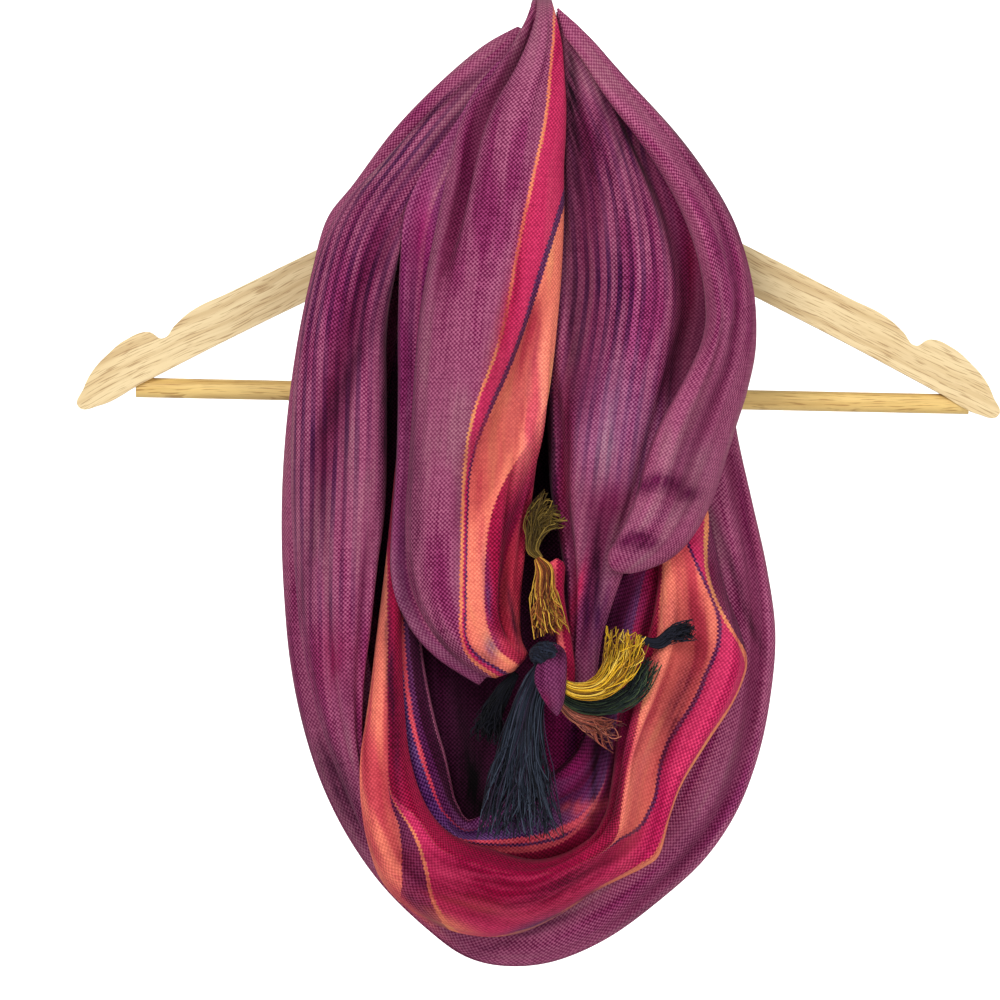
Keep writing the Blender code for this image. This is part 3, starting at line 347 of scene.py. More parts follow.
# Tassels: the hidden point at the knot that the threads come from, the middle line from there,
# size across and deep at root and tip, number of threads, their colours, how far they stray,
# and how far they part into two locks
TASSELS = {
    "tassel_navy": Tassel(
        (1, -73, -311), [(-2, -73, -320), (-6, -75, -332), (-9, -76, -356), (-10, -77, -397)],
        (12, 5), (32, 10), 420, [(32, 38, 52), (18, 20, 30), (60, 68, 84), (44, 34, 54)],
        0.13, 0.30),
    "tassel_navy_back": Tassel(
        (-12, -66, -317), [(-18, -62, -325.5), (-23, -61, -335), (-27, -60, -351)],
        (8, 4), (13, 7), 150, [(8, 8, 16), (16, 16, 28)], 0.20, 0.2),
    "tassel_olive": Tassel(
        (0, -68, -262), [(-4, -66, -258), (-3, -67, -250), (1, -68, -242), (8, -68, -237)],
        (6, 4), (16, 7), 140, [(112, 88, 34), (60, 44, 16), (146, 120, 54), (84, 66, 26)],
        0.30, 0.3),
    "tassel_ochre": Tassel(
        (-2, -70, -262), [(1, -71.6, -267), (1, -74, -278), (3, -76, -290), (5, -77, -299)],
        (9, 5), (13, 7), 220, [(178, 108, 50), (130, 66, 34), (206, 160, 60), (80, 40, 20)],
        0.26, 0.2),
    "tassel_yellow": Tassel(
        (6, -79, -319), [(16.2, -81, -325), (27, -82, -324), (37, -82, -313), (42, -82, -296)],
        (8, 5), (17, 7), 240, [(222, 176, 40), (190, 138, 30), (236, 200, 84), (128, 88, 30)],
        0.18, 0.2),
    "tassel_green": Tassel(
        (4, -75, -321), [(14, -72, -330.2), (28, -73, -333), (44, -76, -325), (52, -78, -309)],
        (7, 4), (10, 5), 170, [(40, 54, 48), (24, 30, 34), (70, 84, 58)], 0.18, 0.1),
    "tassel_black": Tassel(
        (46, -76, -300), [(57, -70.4, -302), (61, -71, -299), (67, -71, -297), (74, -70, -296)],
        (6, 4), (8, 4), 130, [(16, 18, 28), (32, 34, 48)], 0.34, 0.2),
    "tassel_brown": Tassel(
        (6, -73, -328), [(15, -72, -337.2), (23, -72, -341), (31, -73, -345), (38, -74, -348)],
        (5, 3), (12, 4), 80, [(176, 104, 84), (140, 70, 56), (104, 56, 56)], 0.40, 0.5),
}

# Half outline of the wooden arms, from the middle of the top edge round to the underside
ARM_OUTLINE = [
    (12, -6.5), (60, -30), (110, -54), (150, -74), (168, -83), (176, -90), (182, -96.5),
    (189, -93.5), (200, -97.5), (209, -105), (216, -113), (220, -121), (222.5, -130),
    (213, -129.5), (193, -119), (150, -96.5), (104, -73.5), (50, -47), (14, -30),
]

# Each stretch: its stripes from the outer edge inwards, creases, painted patches, areas of woven
# dashes and height of its seeded creases. A stripe starts at its line. A line's path is a list
# of photograph points, or shares across the stretch at even steps along it. A patch is a soft
# oval with its centre, its reach across and along, and its turn in degrees. Most patches are
# dye; the near black, dark plum and shaded orange ones are painted shade in gaps, creases and
# under other layers, and the lighter greyish mauve and pale orange ones are painted light on lit
# faces. An area of dashes is a patch without a colour of its own.
FINISHES = {
    "loop_outer": Finish(
        [Line(MAUVE, None)],
        [Fold(0.05, 0.50, 0.80, 0.86, -1.2, 0.020), Fold(0.30, 0.72, 0.60, 0.66, -1.4, 0.018),
         Fold(0.55, 0.95, 0.72, 0.62, -1.6, 0.020), Fold(0.60, 0.90, 0.88, 0.80, 1.2, 0.018)],
        # The near black and dark plum patches are painted shade in creases and along the top edge;
        # the lighter greyish mauve ones are painted light on lit ridges
        [Patch(690, 840, 30, 70, -38, DEEP_MAUVE, 0.5), Patch(750, 560, 12, 60, 5, MAGENTA, 0.35),
         Patch(480, 945, 70, 14, 5, DEEP_MAUVE, 0.5), Patch(300, 640, 14, 90, -4, DEEP_MAUVE, 0.4),
         Patch(735, 640, 8, 80, 8, DEEP_MAUVE, 0.5), Patch(728, 560, 5, 50, -20, SHADE_DARK, 0.65),
         Patch(750, 625, 5, 34, -26, SHADE_DARK, 0.5), Patch(748, 560, 9, 70, -12, PAINTED_LIGHT_MAUVE, 0.8),
         Patch(722, 800, 26, 80, 22, PAINTED_LIGHT_MAUVE, 0.8), Patch(655, 903, 5, 50, 58, SHADE_DARK, 0.45),
         Patch(450, 101, 4, 60, 49, SHADE_DARK, 0.6), Patch(345, 790, 9, 60, -24, SHADE_DARK, 0.6),
         Patch(600, 930, 60, 10, -16, PAINTED_LIGHT_MAUVE, 0.4), Patch(411, 904, 4, 34, -48, CORAL, 0.9),
         Patch(541, 924, 6, 52, 68, SHADOW, 0.6), Patch(340, 790, 14, 60, -24, SHADOW, 0.6)],
        [Patch(720, 880, 60, 60, 0, None, 0.35)], 0.7),
    "loop_back": Finish(
        [Line(PLUM, None)], [],
        [Patch(560, 740, 44, 80, 0, linear(124, 12, 76), 0.9),
         Patch(592, 770, 9, 60, 0, VIOLET, 0.7), Patch(572, 740, 5, 40, 8, linear(60, 20, 70), 0.6),
         # Painted shade: black and near black in the deep gaps between the layers
         Patch(474, 785, 16, 60, -10, (0, 0, 0), 1.0), Patch(500, 730, 26, 50, 0, SHADE_DARK, 0.7),
         Patch(548, 460, 20, 90, 0, SHADE_DARK, 0.9), Patch(440, 690, 12, 60, -14, PLUM, 0.5)],
        [], 0.8),
    "loop_inner": Finish(
        [Line(CRIMSON, None),
         Line(CORAL, (0.10, 0.10, 0.10, 0.12, 0.20, 0.25, 0.40, 0.45, 0.45)),
         Line(VIOLET, (0.10, 0.10, 0.10, 0.12, 0.32, 0.30, 0.40, 0.45, 0.45)),
         Line(CORAL, (0.10, 0.10, 0.10, 0.12, 0.36, 0.33, 0.40, 0.45, 0.45)),
         Line(BLUE_VIOLET, (0.10, 0.10, 0.10, 0.12, 0.42, 0.42, 0.40, 0.45, 0.45)),
         Line(CORAL, (0.34, 0.34, 0.34, 0.50, 0.70, 0.70, 0.62, 0.62, 0.62)),
         Line(VIOLET, (0.48, 0.48, 0.46, 0.54, 0.70, 0.70, 0.62, 0.62, 0.62)),
         Line(PLUM, (0.62, 0.62, 0.62, 0.80, 0.95, 0.90, 0.70, 0.70, 0.70)),
         Line(SELVEDGE_AND_HIGHLIGHT, (0.93, 0.93, 0.93, 0.95, 0.985, 1.2, 1.3, 1.3, 1.3))],
        [Fold(0.42, 0.58, 0.30, 0.36, -1.5, 0.035), Fold(0.50, 0.66, 0.62, 0.52, 1.4, 0.035),
         Fold(0.46, 0.74, 0.84, 0.70, -1.4, 0.030)],
        # The near black patches are painted shade along the folds and in the shaded strip beside the
        # orange
        [Patch(395, 640, 5, 70, -5, SHADE_DARK, 0.5), Patch(612, 700, 5, 90, 2, SHADE_DARK, 0.5),
         Patch(625, 602, 26, 34, 0, linear(104, 20, 74), 0.85),
         Patch(640, 575, 10, 20, 12, MAGENTA, 0.6), Patch(608, 620, 5, 30, 20, SHADE_DARK, 0.6),
         Patch(606, 750, 10, 70, 8, linear(80, 14, 66), 0.9),
         Patch(574, 772, 20, 36, 0, linear(128, 12, 80), 0.85), Patch(594, 770, 4, 60, 3, SHADE_DARK, 0.8),
         Patch(572, 803, 14, 3, -8, CORAL, 0.8), Patch(574, 822, 16, 4, -12, CORAL, 0.7),
         Patch(588, 806, 20, 4, -14, CORAL, 0.7), Patch(520, 822, 30, 4, 6, linear(80, 30, 90), 0.6),
         Patch(616, 770, 6, 50, 4, linear(92, 10, 52), 0.6)],
        [], 0.7),
    "loop_bowl": Finish(
        [Line(ORANGE, None),
         Line(DEEP_MAUVE, [(386, 430), (387, 560), (389, 790), (402, 828), (403, 860), (404, 895),
                           (396, 925), (440, 952), (500, 955), (560, 935), (600, 910),
                           (640, 895), (700, 860), (760, 760), (790, 650), (770, 560),
                           (760, 480)]),
         Line(AMBER, [(386, 430), (387, 560), (389, 790), (415, 830), (425, 862), (432, 900),
                      (448, 926), (452, 936), (500, 938), (560, 914), (590, 893), (622, 877),
                      (658, 856), (670, 816), (687, 775), (714, 733), (741, 692), (750, 655),
                      (735, 636), (722, 618), (712, 590), (704, 567), (708, 515), (712, 480)]),
         Line(RASPBERRY, [(387, 430), (388, 560), (390, 790), (417, 829), (428, 859),
                          (435, 897), (452, 923), (456, 932), (500, 934), (559, 910),
                          (589, 889), (619, 872), (653, 851), (666, 815), (682, 774),
                          (709, 731), (736, 691), (745, 656), (732, 637), (720, 621),
                          (709, 591), (701, 567), (703, 515), (707, 480)]),
         Line(VIOLET, [(389, 430), (389, 790), (417, 812), (440, 846), (500, 868), (560, 868),
                       (600, 850), (617, 838), (653, 814), (658, 780), (664, 745), (694, 703),
                       (719, 640), (722, 622), (705, 580), (687, 544), (668, 480)]),
         Line(ORANGE, [(389, 430), (389, 790), (417, 812), (440, 846), (500, 868), (560, 868),
                       (600, 850), (617, 835), (650, 811), (655, 778), (660, 744), (690, 701),
                       (715, 639), (718, 621), (702, 580), (684, 544), (665, 480)]),
         Line(CRIMSON, [(389, 430), (389, 790), (417, 812), (440, 846), (500, 868), (560, 868),
                        (600, 850), (616, 834), (624, 772), (637, 719), (647, 665), (655, 640),
                        (661, 560), (661, 480)])],
        [Fold(0.40, 0.60, 0.62, 0.54, -1.6, 0.030), Fold(0.30, 0.50, 0.40, 0.30, 1.3, 0.030),
         Fold(0.60, 0.92, 0.30, 0.36, -1.8, 0.030), Fold(0.66, 0.98, 0.58, 0.62, -3.0, 0.030),
         Fold(0.74, 0.98, 0.74, 0.80, 1.6, 0.030)],
        # Painted shade: dark plum in the shaded strip beside the orange, and redder orange down the
        # shaded left edge of the orange roll
        [Patch(393, 690, 6, 120, -4, SHADOW, 0.85), Patch(392, 895, 10, 22, 20, CORAL, 0.5),
         Patch(366, 740, 4, 120, -4, linear(190, 60, 64), 0.6),
         Patch(411, 904, 4, 34, -48, CORAL, 0.9), Patch(452, 920, 7, 26, -66, ORANGE, 0.75),
         Patch(541, 919, 6, 52, 68, VIOLET, 0.97), Patch(590, 893, 6, 16, 60, VIOLET, 0.8),
         Patch(510, 888, 80, 24, -4, linear(132, 0, 46), 0.97),
         Patch(500, 858, 90, 12, 4, linear(128, 2, 50), 0.85),
         Patch(520, 870, 70, 34, 0, linear(130, 0, 48), 0.8),
         # Painted shade on the orange in the hollow right of the raised strip, and painted light down
         # the raised strip itself
         Patch(680, 690, 15, 60, 24, linear(150, 62, 56), 0.75),
         Patch(680, 612, 26, 26, 20, linear(172, 64, 62), 0.6),
         Patch(666, 740, 4, 50, 16, linear(110, 24, 50), 0.6),
         Patch(639, 765, 10, 54, 10, linear(244, 146, 116), 0.8),
         Patch(711, 574, 7, 28, -14, WINE, 0.85),
         # The near black patch on this line is painted shade in a fold
         Patch(622, 720, 8, 60, 6, MAGENTA, 0.7), Patch(612, 800, 7, 40, 10, SHADE_DARK, 0.5),
         Patch(655, 650, 8, 30, 6, linear(170, 30, 70), 0.6),
         Patch(470, 900, 40, 6, 12, CORAL, 0.35), Patch(560, 880, 60, 8, -24, SHADOW, 0.4)],
        [], 0.8),
    "loop_front": Finish(
        [Line(MAUVE, None)],
        [Fold(0.10, 0.60, 0.25, 0.14, 1.0, 0.022), Fold(0.20, 0.75, 0.58, 0.50, -1.4, 0.024),
         Fold(0.55, 0.98, 0.40, 0.52, -1.4, 0.024), Fold(0.05, 0.40, 0.72, 0.62, 1.1, 0.022)],
        # The near black and dark plum patches are painted shade in the fold valleys, beside the gap
        # and along the top edge
        [Patch(333, 400, 9, 85, 8, MAGENTA, 0.45), Patch(345, 330, 14, 80, 16, DEEP_MAUVE, 0.6),
         Patch(320, 520, 8, 70, 4, DEEP_MAUVE, 0.35), Patch(336, 655, 20, 34, 0, MAGENTA, 0.7),
         Patch(352, 700, 7, 60, -6, DEEP_MAUVE, 0.7), Patch(376, 220, 26, 60, 35, DEEP_MAUVE, 0.5),
         Patch(345, 388, 9, 90, 24, SHADOW, 0.75), Patch(388, 400, 8, 120, 0, SHADE_DARK, 0.75),
         Patch(345, 780, 10, 60, -22, SHADOW, 0.7), Patch(450, 101, 4, 60, 49, SHADE_DARK, 0.6),
         Patch(388, 560, 6, 90, 0, SHADOW, 0.6), Patch(310, 560, 7, 90, 8, SHADOW, 0.4),
         Patch(430, 150, 6, 60, 42, SHADOW, 0.5)],
        [Patch(400, 170, 60, 90, 38, None, 1.0), Patch(350, 280, 54, 120, 26, None, 1.0),
         Patch(325, 430, 44, 150, 8, None, 1.0), Patch(330, 600, 34, 90, 0, None, 0.6)], 0.7),
    "end_side": Finish(
        # The thin light line just left of the strip's crest is painted highlight
        [Line(linear(150, 60, 108), None), Line(SELVEDGE_AND_HIGHLIGHT, (0.40, 0.40, 0.46, 0.44, 0.40)),
         Line(linear(136, 46, 104), (0.50, 0.50, 0.56, 0.54, 0.50))],
        [Fold(0.1, 0.9, 0.3, 0.3, -1.0, 0.06)],
        # The lighter greyish mauve patch is painted highlight along the strip's crest
        [Patch(424, 235, 9, 40, 4, linear(170, 30, 110), 0.7), Patch(408, 420, 8, 90, 0, PAINTED_LIGHT_MAUVE, 0.35),
         Patch(404, 560, 8, 60, 0, VIOLET, 0.5)], [Patch(415, 400, 14, 160, 0, None, 0.5)], 0.6),
    "end_right": Finish(
        [Line(MAUVE, None), Line(PLUM, (0.975, 0.96, 0.9))],
        [Fold(0.05, 0.50, 0.70, 0.62, 1.5, 0.022), Fold(0.08, 0.62, 0.46, 0.40, -1.4, 0.022),
         Fold(0.06, 0.44, 0.84, 0.78, -1.2, 0.020), Fold(0.30, 0.80, 0.56, 0.52, 1.4, 0.022),
         Fold(0.45, 0.85, 0.30, 0.40, -1.6, 0.022), Fold(0.10, 0.40, 0.58, 0.54, -1.2, 0.018)],
        # The near black and dark plum patches are painted shade in the gap between the two ends and
        # in the folds
        [Patch(690, 260, 9, 80, 4, CRIMSON, 0.5), Patch(640, 200, 14, 100, 6, DEEP_MAUVE, 0.35),
         Patch(590, 220, 10, 90, 0, DEEP_MAUVE, 0.4),
         Patch(612, 502, 34, 24, 0, linear(122, 10, 70), 0.95),
         Patch(566, 455, 7, 80, 2, CRIMSON, 0.6), Patch(592, 610, 22, 50, 0, linear(86, 20, 74), 0.9),
         Patch(700, 330, 16, 60, 0, DEEP_MAUVE, 0.5), Patch(580, 584, 4, 24, 12, RASPBERRY, 0.8),
         Patch(572, 610, 4, 50, 4, CRIMSON, 0.7), Patch(612, 420, 40, 64, 4, LILAC_GREY, 0.75),
         Patch(600, 120, 22, 90, 16, DEEP_MAUVE, 0.6), Patch(618, 300, 10, 110, 2, SHADOW, 0.45),
         Patch(572, 300, 8, 160, 0, SHADE_DARK, 0.6), Patch(596, 560, 6, 60, 0, SHADE_DARK, 0.5),
         Patch(573, 112, 8, 80, -3, SHADE_DARK, 0.97), Patch(612, 130, 26, 70, 20, DEEP_MAUVE, 0.6),
         Patch(604, 110, 4, 80, 12, SHADOW, 0.6), Patch(622, 140, 4, 80, 16, SHADOW, 0.6)],
        [Patch(612, 420, 50, 85, 4, None, 1.0), Patch(610, 280, 56, 130, 4, None, 1.0),
         Patch(620, 140, 50, 110, 20, None, 1.0)], 0.7),
    "end_left": Finish(
        [Line(linear(152, 72, 104), None),
         Line(AMBER, [(553, 0), (552, 40), (545, 117), (536, 162), (524, 212), (513, 270),
                      (501, 338), (485, 380), (470, 420), (464, 460), (462, 500), (461, 560),
                      (460, 640), (475, 664), (500, 680), (520, 688)]),
         Line(RASPBERRY, [(556, 0), (554, 40), (548, 117), (539, 162), (527, 212), (516, 270),
                          (504, 338), (488, 380), (473, 420), (467, 460), (465, 500), (464, 560),
                          (463, 640), (477, 661), (502, 677), (521, 685)]),
         Line(VIOLET, [(590, 0), (584, 60), (576, 120), (568, 174), (558.6, 208), (547, 246.6),
                       (535.7, 279), (522, 330), (503, 378), (484, 418), (470, 460), (467, 500),
                       (466, 560), (465, 640), (480, 659), (505, 673), (524, 680)]),
         Line(ORANGE, [(600, 0), (594, 60), (584, 130), (572, 180), (563, 212), (552, 246),
                       (539, 289), (526, 330), (508, 377), (488, 420), (472, 460), (469, 500),
                       (468, 560), (467, 640), (482, 657), (507, 670), (526, 677)]),
         Line(CRIMSON, [(640, 0), (620, 200), (585, 300), (562, 360), (541, 420), (524, 450),
                        (504, 480), (490, 515), (486, 550), (485, 585), (486, 620), (496, 645),
                        (512, 660), (530, 668)]),
         Line(linear(206, 60, 76), [(680, 0), (660, 200), (620, 300), (590, 360), (566, 420),
                                    (552, 450), (536, 480), (520, 515), (508, 550), (500, 585),
                                    (501, 620), (510, 645), (522, 660), (540, 668)])],
        [Fold(0.10, 0.55, 0.34, 0.24, -2.0, 0.024), Fold(0.16, 0.62, 0.60, 0.50, 1.2, 0.024),
         Fold(0.50, 0.95, 0.72, 0.70, -2.0, 0.024), Fold(0.60, 0.99, 0.86, 0.82, 2.0, 0.024),
         Fold(0.55, 0.90, 0.90, 0.90, -2.2, 0.020), Fold(0.30, 0.85, 0.18, 0.22, -1.0, 0.022)],
        [Patch(478, 200, 8, 70, 10, DEEP_MAUVE, 0.35), Patch(505, 95, 8, 60, 8, DEEP_MAUVE, 0.4),
         Patch(520, 250, 5, 70, 12, linear(190, 50, 70), 0.3),
         # Painted light: paler orange on the lit face of the orange roll
         Patch(530, 378, 13, 60, 18, linear(246, 152, 120), 0.75),
         Patch(503, 330, 6, 50, 14, linear(160, 24, 58), 0.65),
         Patch(488, 590, 4, 40, -4, VIOLET, 0.8), Patch(492, 645, 8, 12, 0, BLUE_VIOLET, 0.7),
         Patch(505, 330, 8, 70, 14, CRIMSON, 0.6), Patch(510, 520, 7, 26, 16, MAGENTA, 0.6),
         # Painted light: paler orange on the lit face of the orange roll
         Patch(536, 420, 9, 50, 16, linear(250, 150, 122), 0.8),
         Patch(532, 12, 30, 14, 0, MAUVE, 0.9), Patch(498, 70, 10, 60, 24, DEEP_MAUVE, 0.5),
         Patch(446, 220, 14, 100, 12, linear(120, 20, 84), 0.45),
         Patch(414, 480, 9, 120, 0, SHADOW, 0.5), Patch(440, 640, 30, 8, 40, SHADOW, 0.5),
         Patch(513, 618, 3, 44, -10, SHADOW, 0.8), Patch(500, 588, 3, 40, 4, SHADOW, 0.4),
         Patch(486, 655, 4, 20, -56, SHADOW, 0.5), Patch(508, 645, 6, 16, -40, CORAL, 0.6),
         Patch(478, 440, 5, 26, 28, linear(186, 60, 60), 0.6),
         Patch(524, 500, 10, 40, 6, MAGENTA, 0.5), Patch(450, 240, 10, 60, 6, MAGENTA, 0.25),
         Patch(470, 450, 8, 26, 20, DEEP_MAUVE, 0.35), Patch(420, 330, 8, 120, 2, DEEP_MAUVE, 0.35)],
        [], 0.7),
    "end_lobe": Finish(
        [Line(MAUVE, None)],
        [Fold(0.10, 0.55, 0.30, 0.36, -1.3, 0.024), Fold(0.40, 0.92, 0.60, 0.52, -1.6, 0.024),
         Fold(0.55, 0.98, 0.34, 0.44, 1.4, 0.024)],
        # The lighter greyish mauve patches are painted light: the lit band down the right side and
        # lit crescents at the rounded end
        [Patch(740, 220, 8, 90, 3, MAGENTA, 0.4), Patch(692, 462, 24, 30, 20, PAINTED_LIGHT_MAUVE, 0.9),
         Patch(726, 300, 14, 100, 0, PAINTED_LIGHT_MAUVE, 0.6),
         Patch(700, 420, 10, 70, 24, DEEP_MAUVE, 0.4),
         Patch(712, 300, 8, 80, 6, DEEP_MAUVE, 0.4),
         Patch(640, 562, 44, 14, 65, PAINTED_LIGHT_MAUVE, 0.9), Patch(660, 515, 26, 9, -14, PAINTED_LIGHT_MAUVE, 0.8),
         *(Patch(x, y, 13, 8, turn, linear(94, 8, 62), 0.93)
           for x, y, turn in ((643, 487, 0), (658, 480, 0), (673, 484, 0), (686, 494, 0),
                              (626, 541, -20), (638, 537, 0), (646, 543, 0))),
         Patch(672, 560, 30, 6, -35, SHADOW, 0.5), Patch(690, 160, 6, 70, -30, SHADOW, 0.4)],
        [], 0.7),
    "knot_band": Finish(
        [Line(CORAL, None), Line(CRIMSON, (0.5, 0.45, 0.5))], [], [], [], 0.3),
    "knot_point": Finish(
        [Line(linear(104, 30, 78), None)],
        [Fold(0.0, 1.0, 0.45, 0.55, 2.0, 0.16), Fold(0.0, 1.0, 0.2, 0.3, -1.2, 0.12)],
        # The near black patch at its top stands in for the dark knot over it
        [Patch(545, 700, 8, 10, 0, MAGENTA, 0.5), Patch(556, 650, 12, 9, 0, SHADE_DARK, 0.85)],
        [], 0.2),
}

# Lengths over which the start and the end of a stretch close to a rounded tip
ROUNDED = {"loop_outer": (2, 2), "loop_front": (3, 0), "end_side": (4, 0),
           "end_lobe": (0, 14), "knot_band": (5, 4), "knot_point": (9, 9), "end_left": (0, 5)}

# Points beside the hook that the upper end of a stretch is drawn together to
DRAWN_TO = {"end_right": (7.0, -31.0, 2.0), "end_lobe": (7.0, -33.0, 4.0)}

# Seeded creases: ranges of their start and length as shares of the stretch, of their width in
# grid columns and of their height as a share of the stretch's ripple; where across the stretch
# they lie, and how far they wander
CREASE_START = (0.0, 0.75)
CREASE_LENGTH = (0.2, 0.6)
CREASE_WIDTH = (1.3, 3.0)
CREASE_HEIGHT = (0.35, 1.0)
CREASE_ACROSS = (0.04, 0.96)
CREASE_WANDER = (-0.10, 0.10)

# How a stripe's line picks its crossing with a row: cost of a crossing off the path, cost of
# one on the path's run-on ends, and the least space between two lines
OFF_PATH_COST = 50.0
RUN_ON_COST = 2.0
LINE_SPACE = 0.001

# Stripes and dashes: how far a stripe's edge strays, reach of its teeth, half the width of its
# soft edge, spacing of the dashes
STRIPE_RAGGED = 1.6
STRIPE_TEETH = 0.35
STRIPE_BLEND = 0.35
DASH_PITCH = 5.8
DASH_COLOUR = linear(54, 12, 68)

# Threads: how uneven they are, what the dark thread loses of each channel, what the light
# thread gains and takes of lilac, and the least and most show of the dots
THREAD_UNEVEN = 1.2
DARK_LOSS = (0.60, 0.90, 0.64)
LIGHT_GAIN = 0.45
LILAC_SHARE = 0.20
LILAC = linear(196, 160, 176)
DOTS_SHOW = (0.62, 1.0)

# The contrast of a pair of threads is CONTRAST_TOP less the colour's brightness. From these
# shares of grey and of brightness on, a colour takes the whole of its lilac.
CONTRAST_TOP = 1.30
LEAST_CONTRAST = 0.40
DULL_SHARE = 0.15
BRIGHT = 0.2

# Noise fields of the cloth: features a millimetre across and along it, seed and detail
STRAY = (0.8, 0.128, 0.0, 3.0)
DASH_BREAKS = (0.22, 0.03, 3.0, 2.0)
LOOSE_DYE = (0.35, 0.056, 0.0, 2.0)
SLUB = (1.1, 0.044, 7.7, 2.0)
PICK = (0.088, 1.1, 9.9, 2.0)
DYE = (0.075, 0.010, 5.0, 3.0)
FLECK = (0.40, 0.40, 0.0, 4.0)

# Noise fields of the wood: features a metre along the grain and across it, and detail. The
# drift of the grain has features along it and its own place in the noise for each arm.
RINGS = ((5.0, 260.0), 3.0)
PORES = ((70.0, 1500.0), 2.0)
BANDS = ((12.0, 50.0), 2.0)
GRAIN_DRIFT = (14.0, 1.0)

# Features a metre of the yarn's fuzz
YARN_FUZZ = 1600.0

# Pale and dark grain of the arms and of the bar, and the steel
ARM_GRAIN = (linear(218, 196, 152), linear(188, 158, 112))
BAR_GRAIN = (linear(222, 190, 120), linear(180, 140, 76))
STEEL = linear(196, 196, 196)

# Colours that multiply the cloth in its fold hollows as painted shade, in dark clouds, dusty
# clouds and flecks, the yarn in its fuzz, and the wood in its broad bands and pores
HOLLOW_SHADE_TINT = (0.55, 0.28, 0.46)
CLOUD_TINT = (0.72, 0.34, 0.66)
DUST_TINT = (1.0, 1.4, 1.05)
FLECK_TINT = (0.60, 0.42, 0.58)
FUZZ_TINT = (0.5, 0.46, 0.46)
BAND_TINT = (0.86, 0.78, 0.66)
PORE_TINT = (0.55, 0.44, 0.34)

# Tassel yarn: steps of the middle line and of a strand, its sides, its radius, a direction that
# its rings are built from, the share of strands that stray more and by how much, spread at the
# root and where hidden, waves of a strand, where it ends, how its drift grows, the widest that
# it goes, and the range of its shade
PATH_STEPS = 40
YARN_STEPS = 20
YARN_SIDES = 4
YARN_RADIUS = 0.24
YARN_ASIDE = (0.31, 0.87, 0.38)
LOOSE_SHARE = 0.16
LOOSE_STRAY = 2.2
ROOT_SPREAD = 0.5
HIDDEN_SPREAD = 0.35
STRAND_WAVES = 3
WAVE_COUNT = (0.6, 2.6)
WAVE_SWING = 0.4
STRAND_END = (0.66, 1.0)
DRIFT_POWER = 1.4
WIDEST = 0.66
SHADE_RANGE = (0.6, 1.3)

# The wound knot
KNOT_SIZE = (7.6, 8.2, 6.2)
KNOT_CENTRE = (2.4, -77.0, -308.0)
KNOT_TURNS = 70
KNOT_TURN_STEPS = 25
KNOT_YARN_RADIUS = 0.5
KNOT_SEED = 11
KNOT_SHADES = [(16, 18, 28), (34, 40, 56), (24, 26, 40)]

# Stage in metres. Lights: place, aim, size and watts.
FLOOR_Z = -1.1
WALL_Y = 12.0
WALL_TOP = 4.0
WALL_FOOT = 1.0
WALL_HALF_WIDTH = 6.0
CAMERA_AWAY = 6.0
SENSOR_WIDTH = 36.0
VIEW_WIDTH = 0.484
VIEW_CENTRE = (-0.0198, -0.234)
BACKDROP_GREY = (0.93, 0.93, 0.93)
WORLD_LIGHT = 0.40
MIDDLE = (0, 0, -0.23)
LIGHTS = {
    "key": ((-1.0, -2.2, 1.3), MIDDLE, 1.2, 58.0),
    "fill": ((1.8, -2.0, 0.2), MIDDLE, 1.6, 32.0),
    "back": ((-1.2, 2.6, 1.4), MIDDLE, 2.0, 26.0),
    "wall_light": ((0, WALL_Y - 1.6, 2.2), (0, WALL_Y, -0.2), 2.4, 150.0),
}


def from_photo(points):
    """Scene x and z in millimetres of photograph points."""
    points = np.array(points, float)
    return np.stack([(points[..., 0] - PHOTO_CENTRE_X) * PIXEL,
                     PHOTO_TOP_Z - points[..., 1] * PIXEL], axis=-1)


def read_smoothly(table, at, where):
    """Values of a table at places along its parameter, on a smooth curve through its rows."""
    table = np.array(table, float)
    slope = np.gradient(table, at, axis=0)
    row = np.clip(np.searchsorted(at, where) - 1, 0, len(at) - 2)
    span = (at[row + 1] - at[row])[:, None]
    t = (where - at[row])[:, None] / span
    return ((2 * t**3 - 3 * t**2 + 1) * table[row] + (t**3 - 2 * t**2 + t) * span * slope[row]
            + (3 * t**2 - 2 * t**3) * table[row + 1] + (t**3 - t**2) * span * slope[row + 1])


def length_along(points):
    """Distance from the first point, for each point of a line."""
    steps = np.linalg.norm(np.diff(points, axis=0), axis=1)
    return np.concatenate([[0.0], np.cumsum(steps)])


def row_places(points, count):
    """Places along a line for its rows: closer together where the line turns."""
    at = length_along(points)
    ways = np.diff(points, axis=0) / np.diff(at)[:, None]
    turns = np.arccos(np.clip((ways[1:] * ways[:-1]).sum(axis=1), -1, 1))
    effort = at + TURN_WEIGHT * np.concatenate([[0.0], np.cumsum(turns), [turns.sum()]])
    return np.interp(np.linspace(0, effort[-1], count), effort, at)


def softened(values):
    """A circle's sine or cosine, squared off a little so that the cloth's face is flatter."""
    return np.sign(values) * np.abs(values) ** SECTION_ROUNDNESS


def station_rows(stations, rows):
    """The station table, read at the solid's rows."""
    table = np.array(stations, float)
    middle = np.column_stack([(table[:, 0:2] + table[:, 2:4]) / 2, table[:, 4]])
    return read_smoothly(table, length_along(middle), row_places(middle, rows))


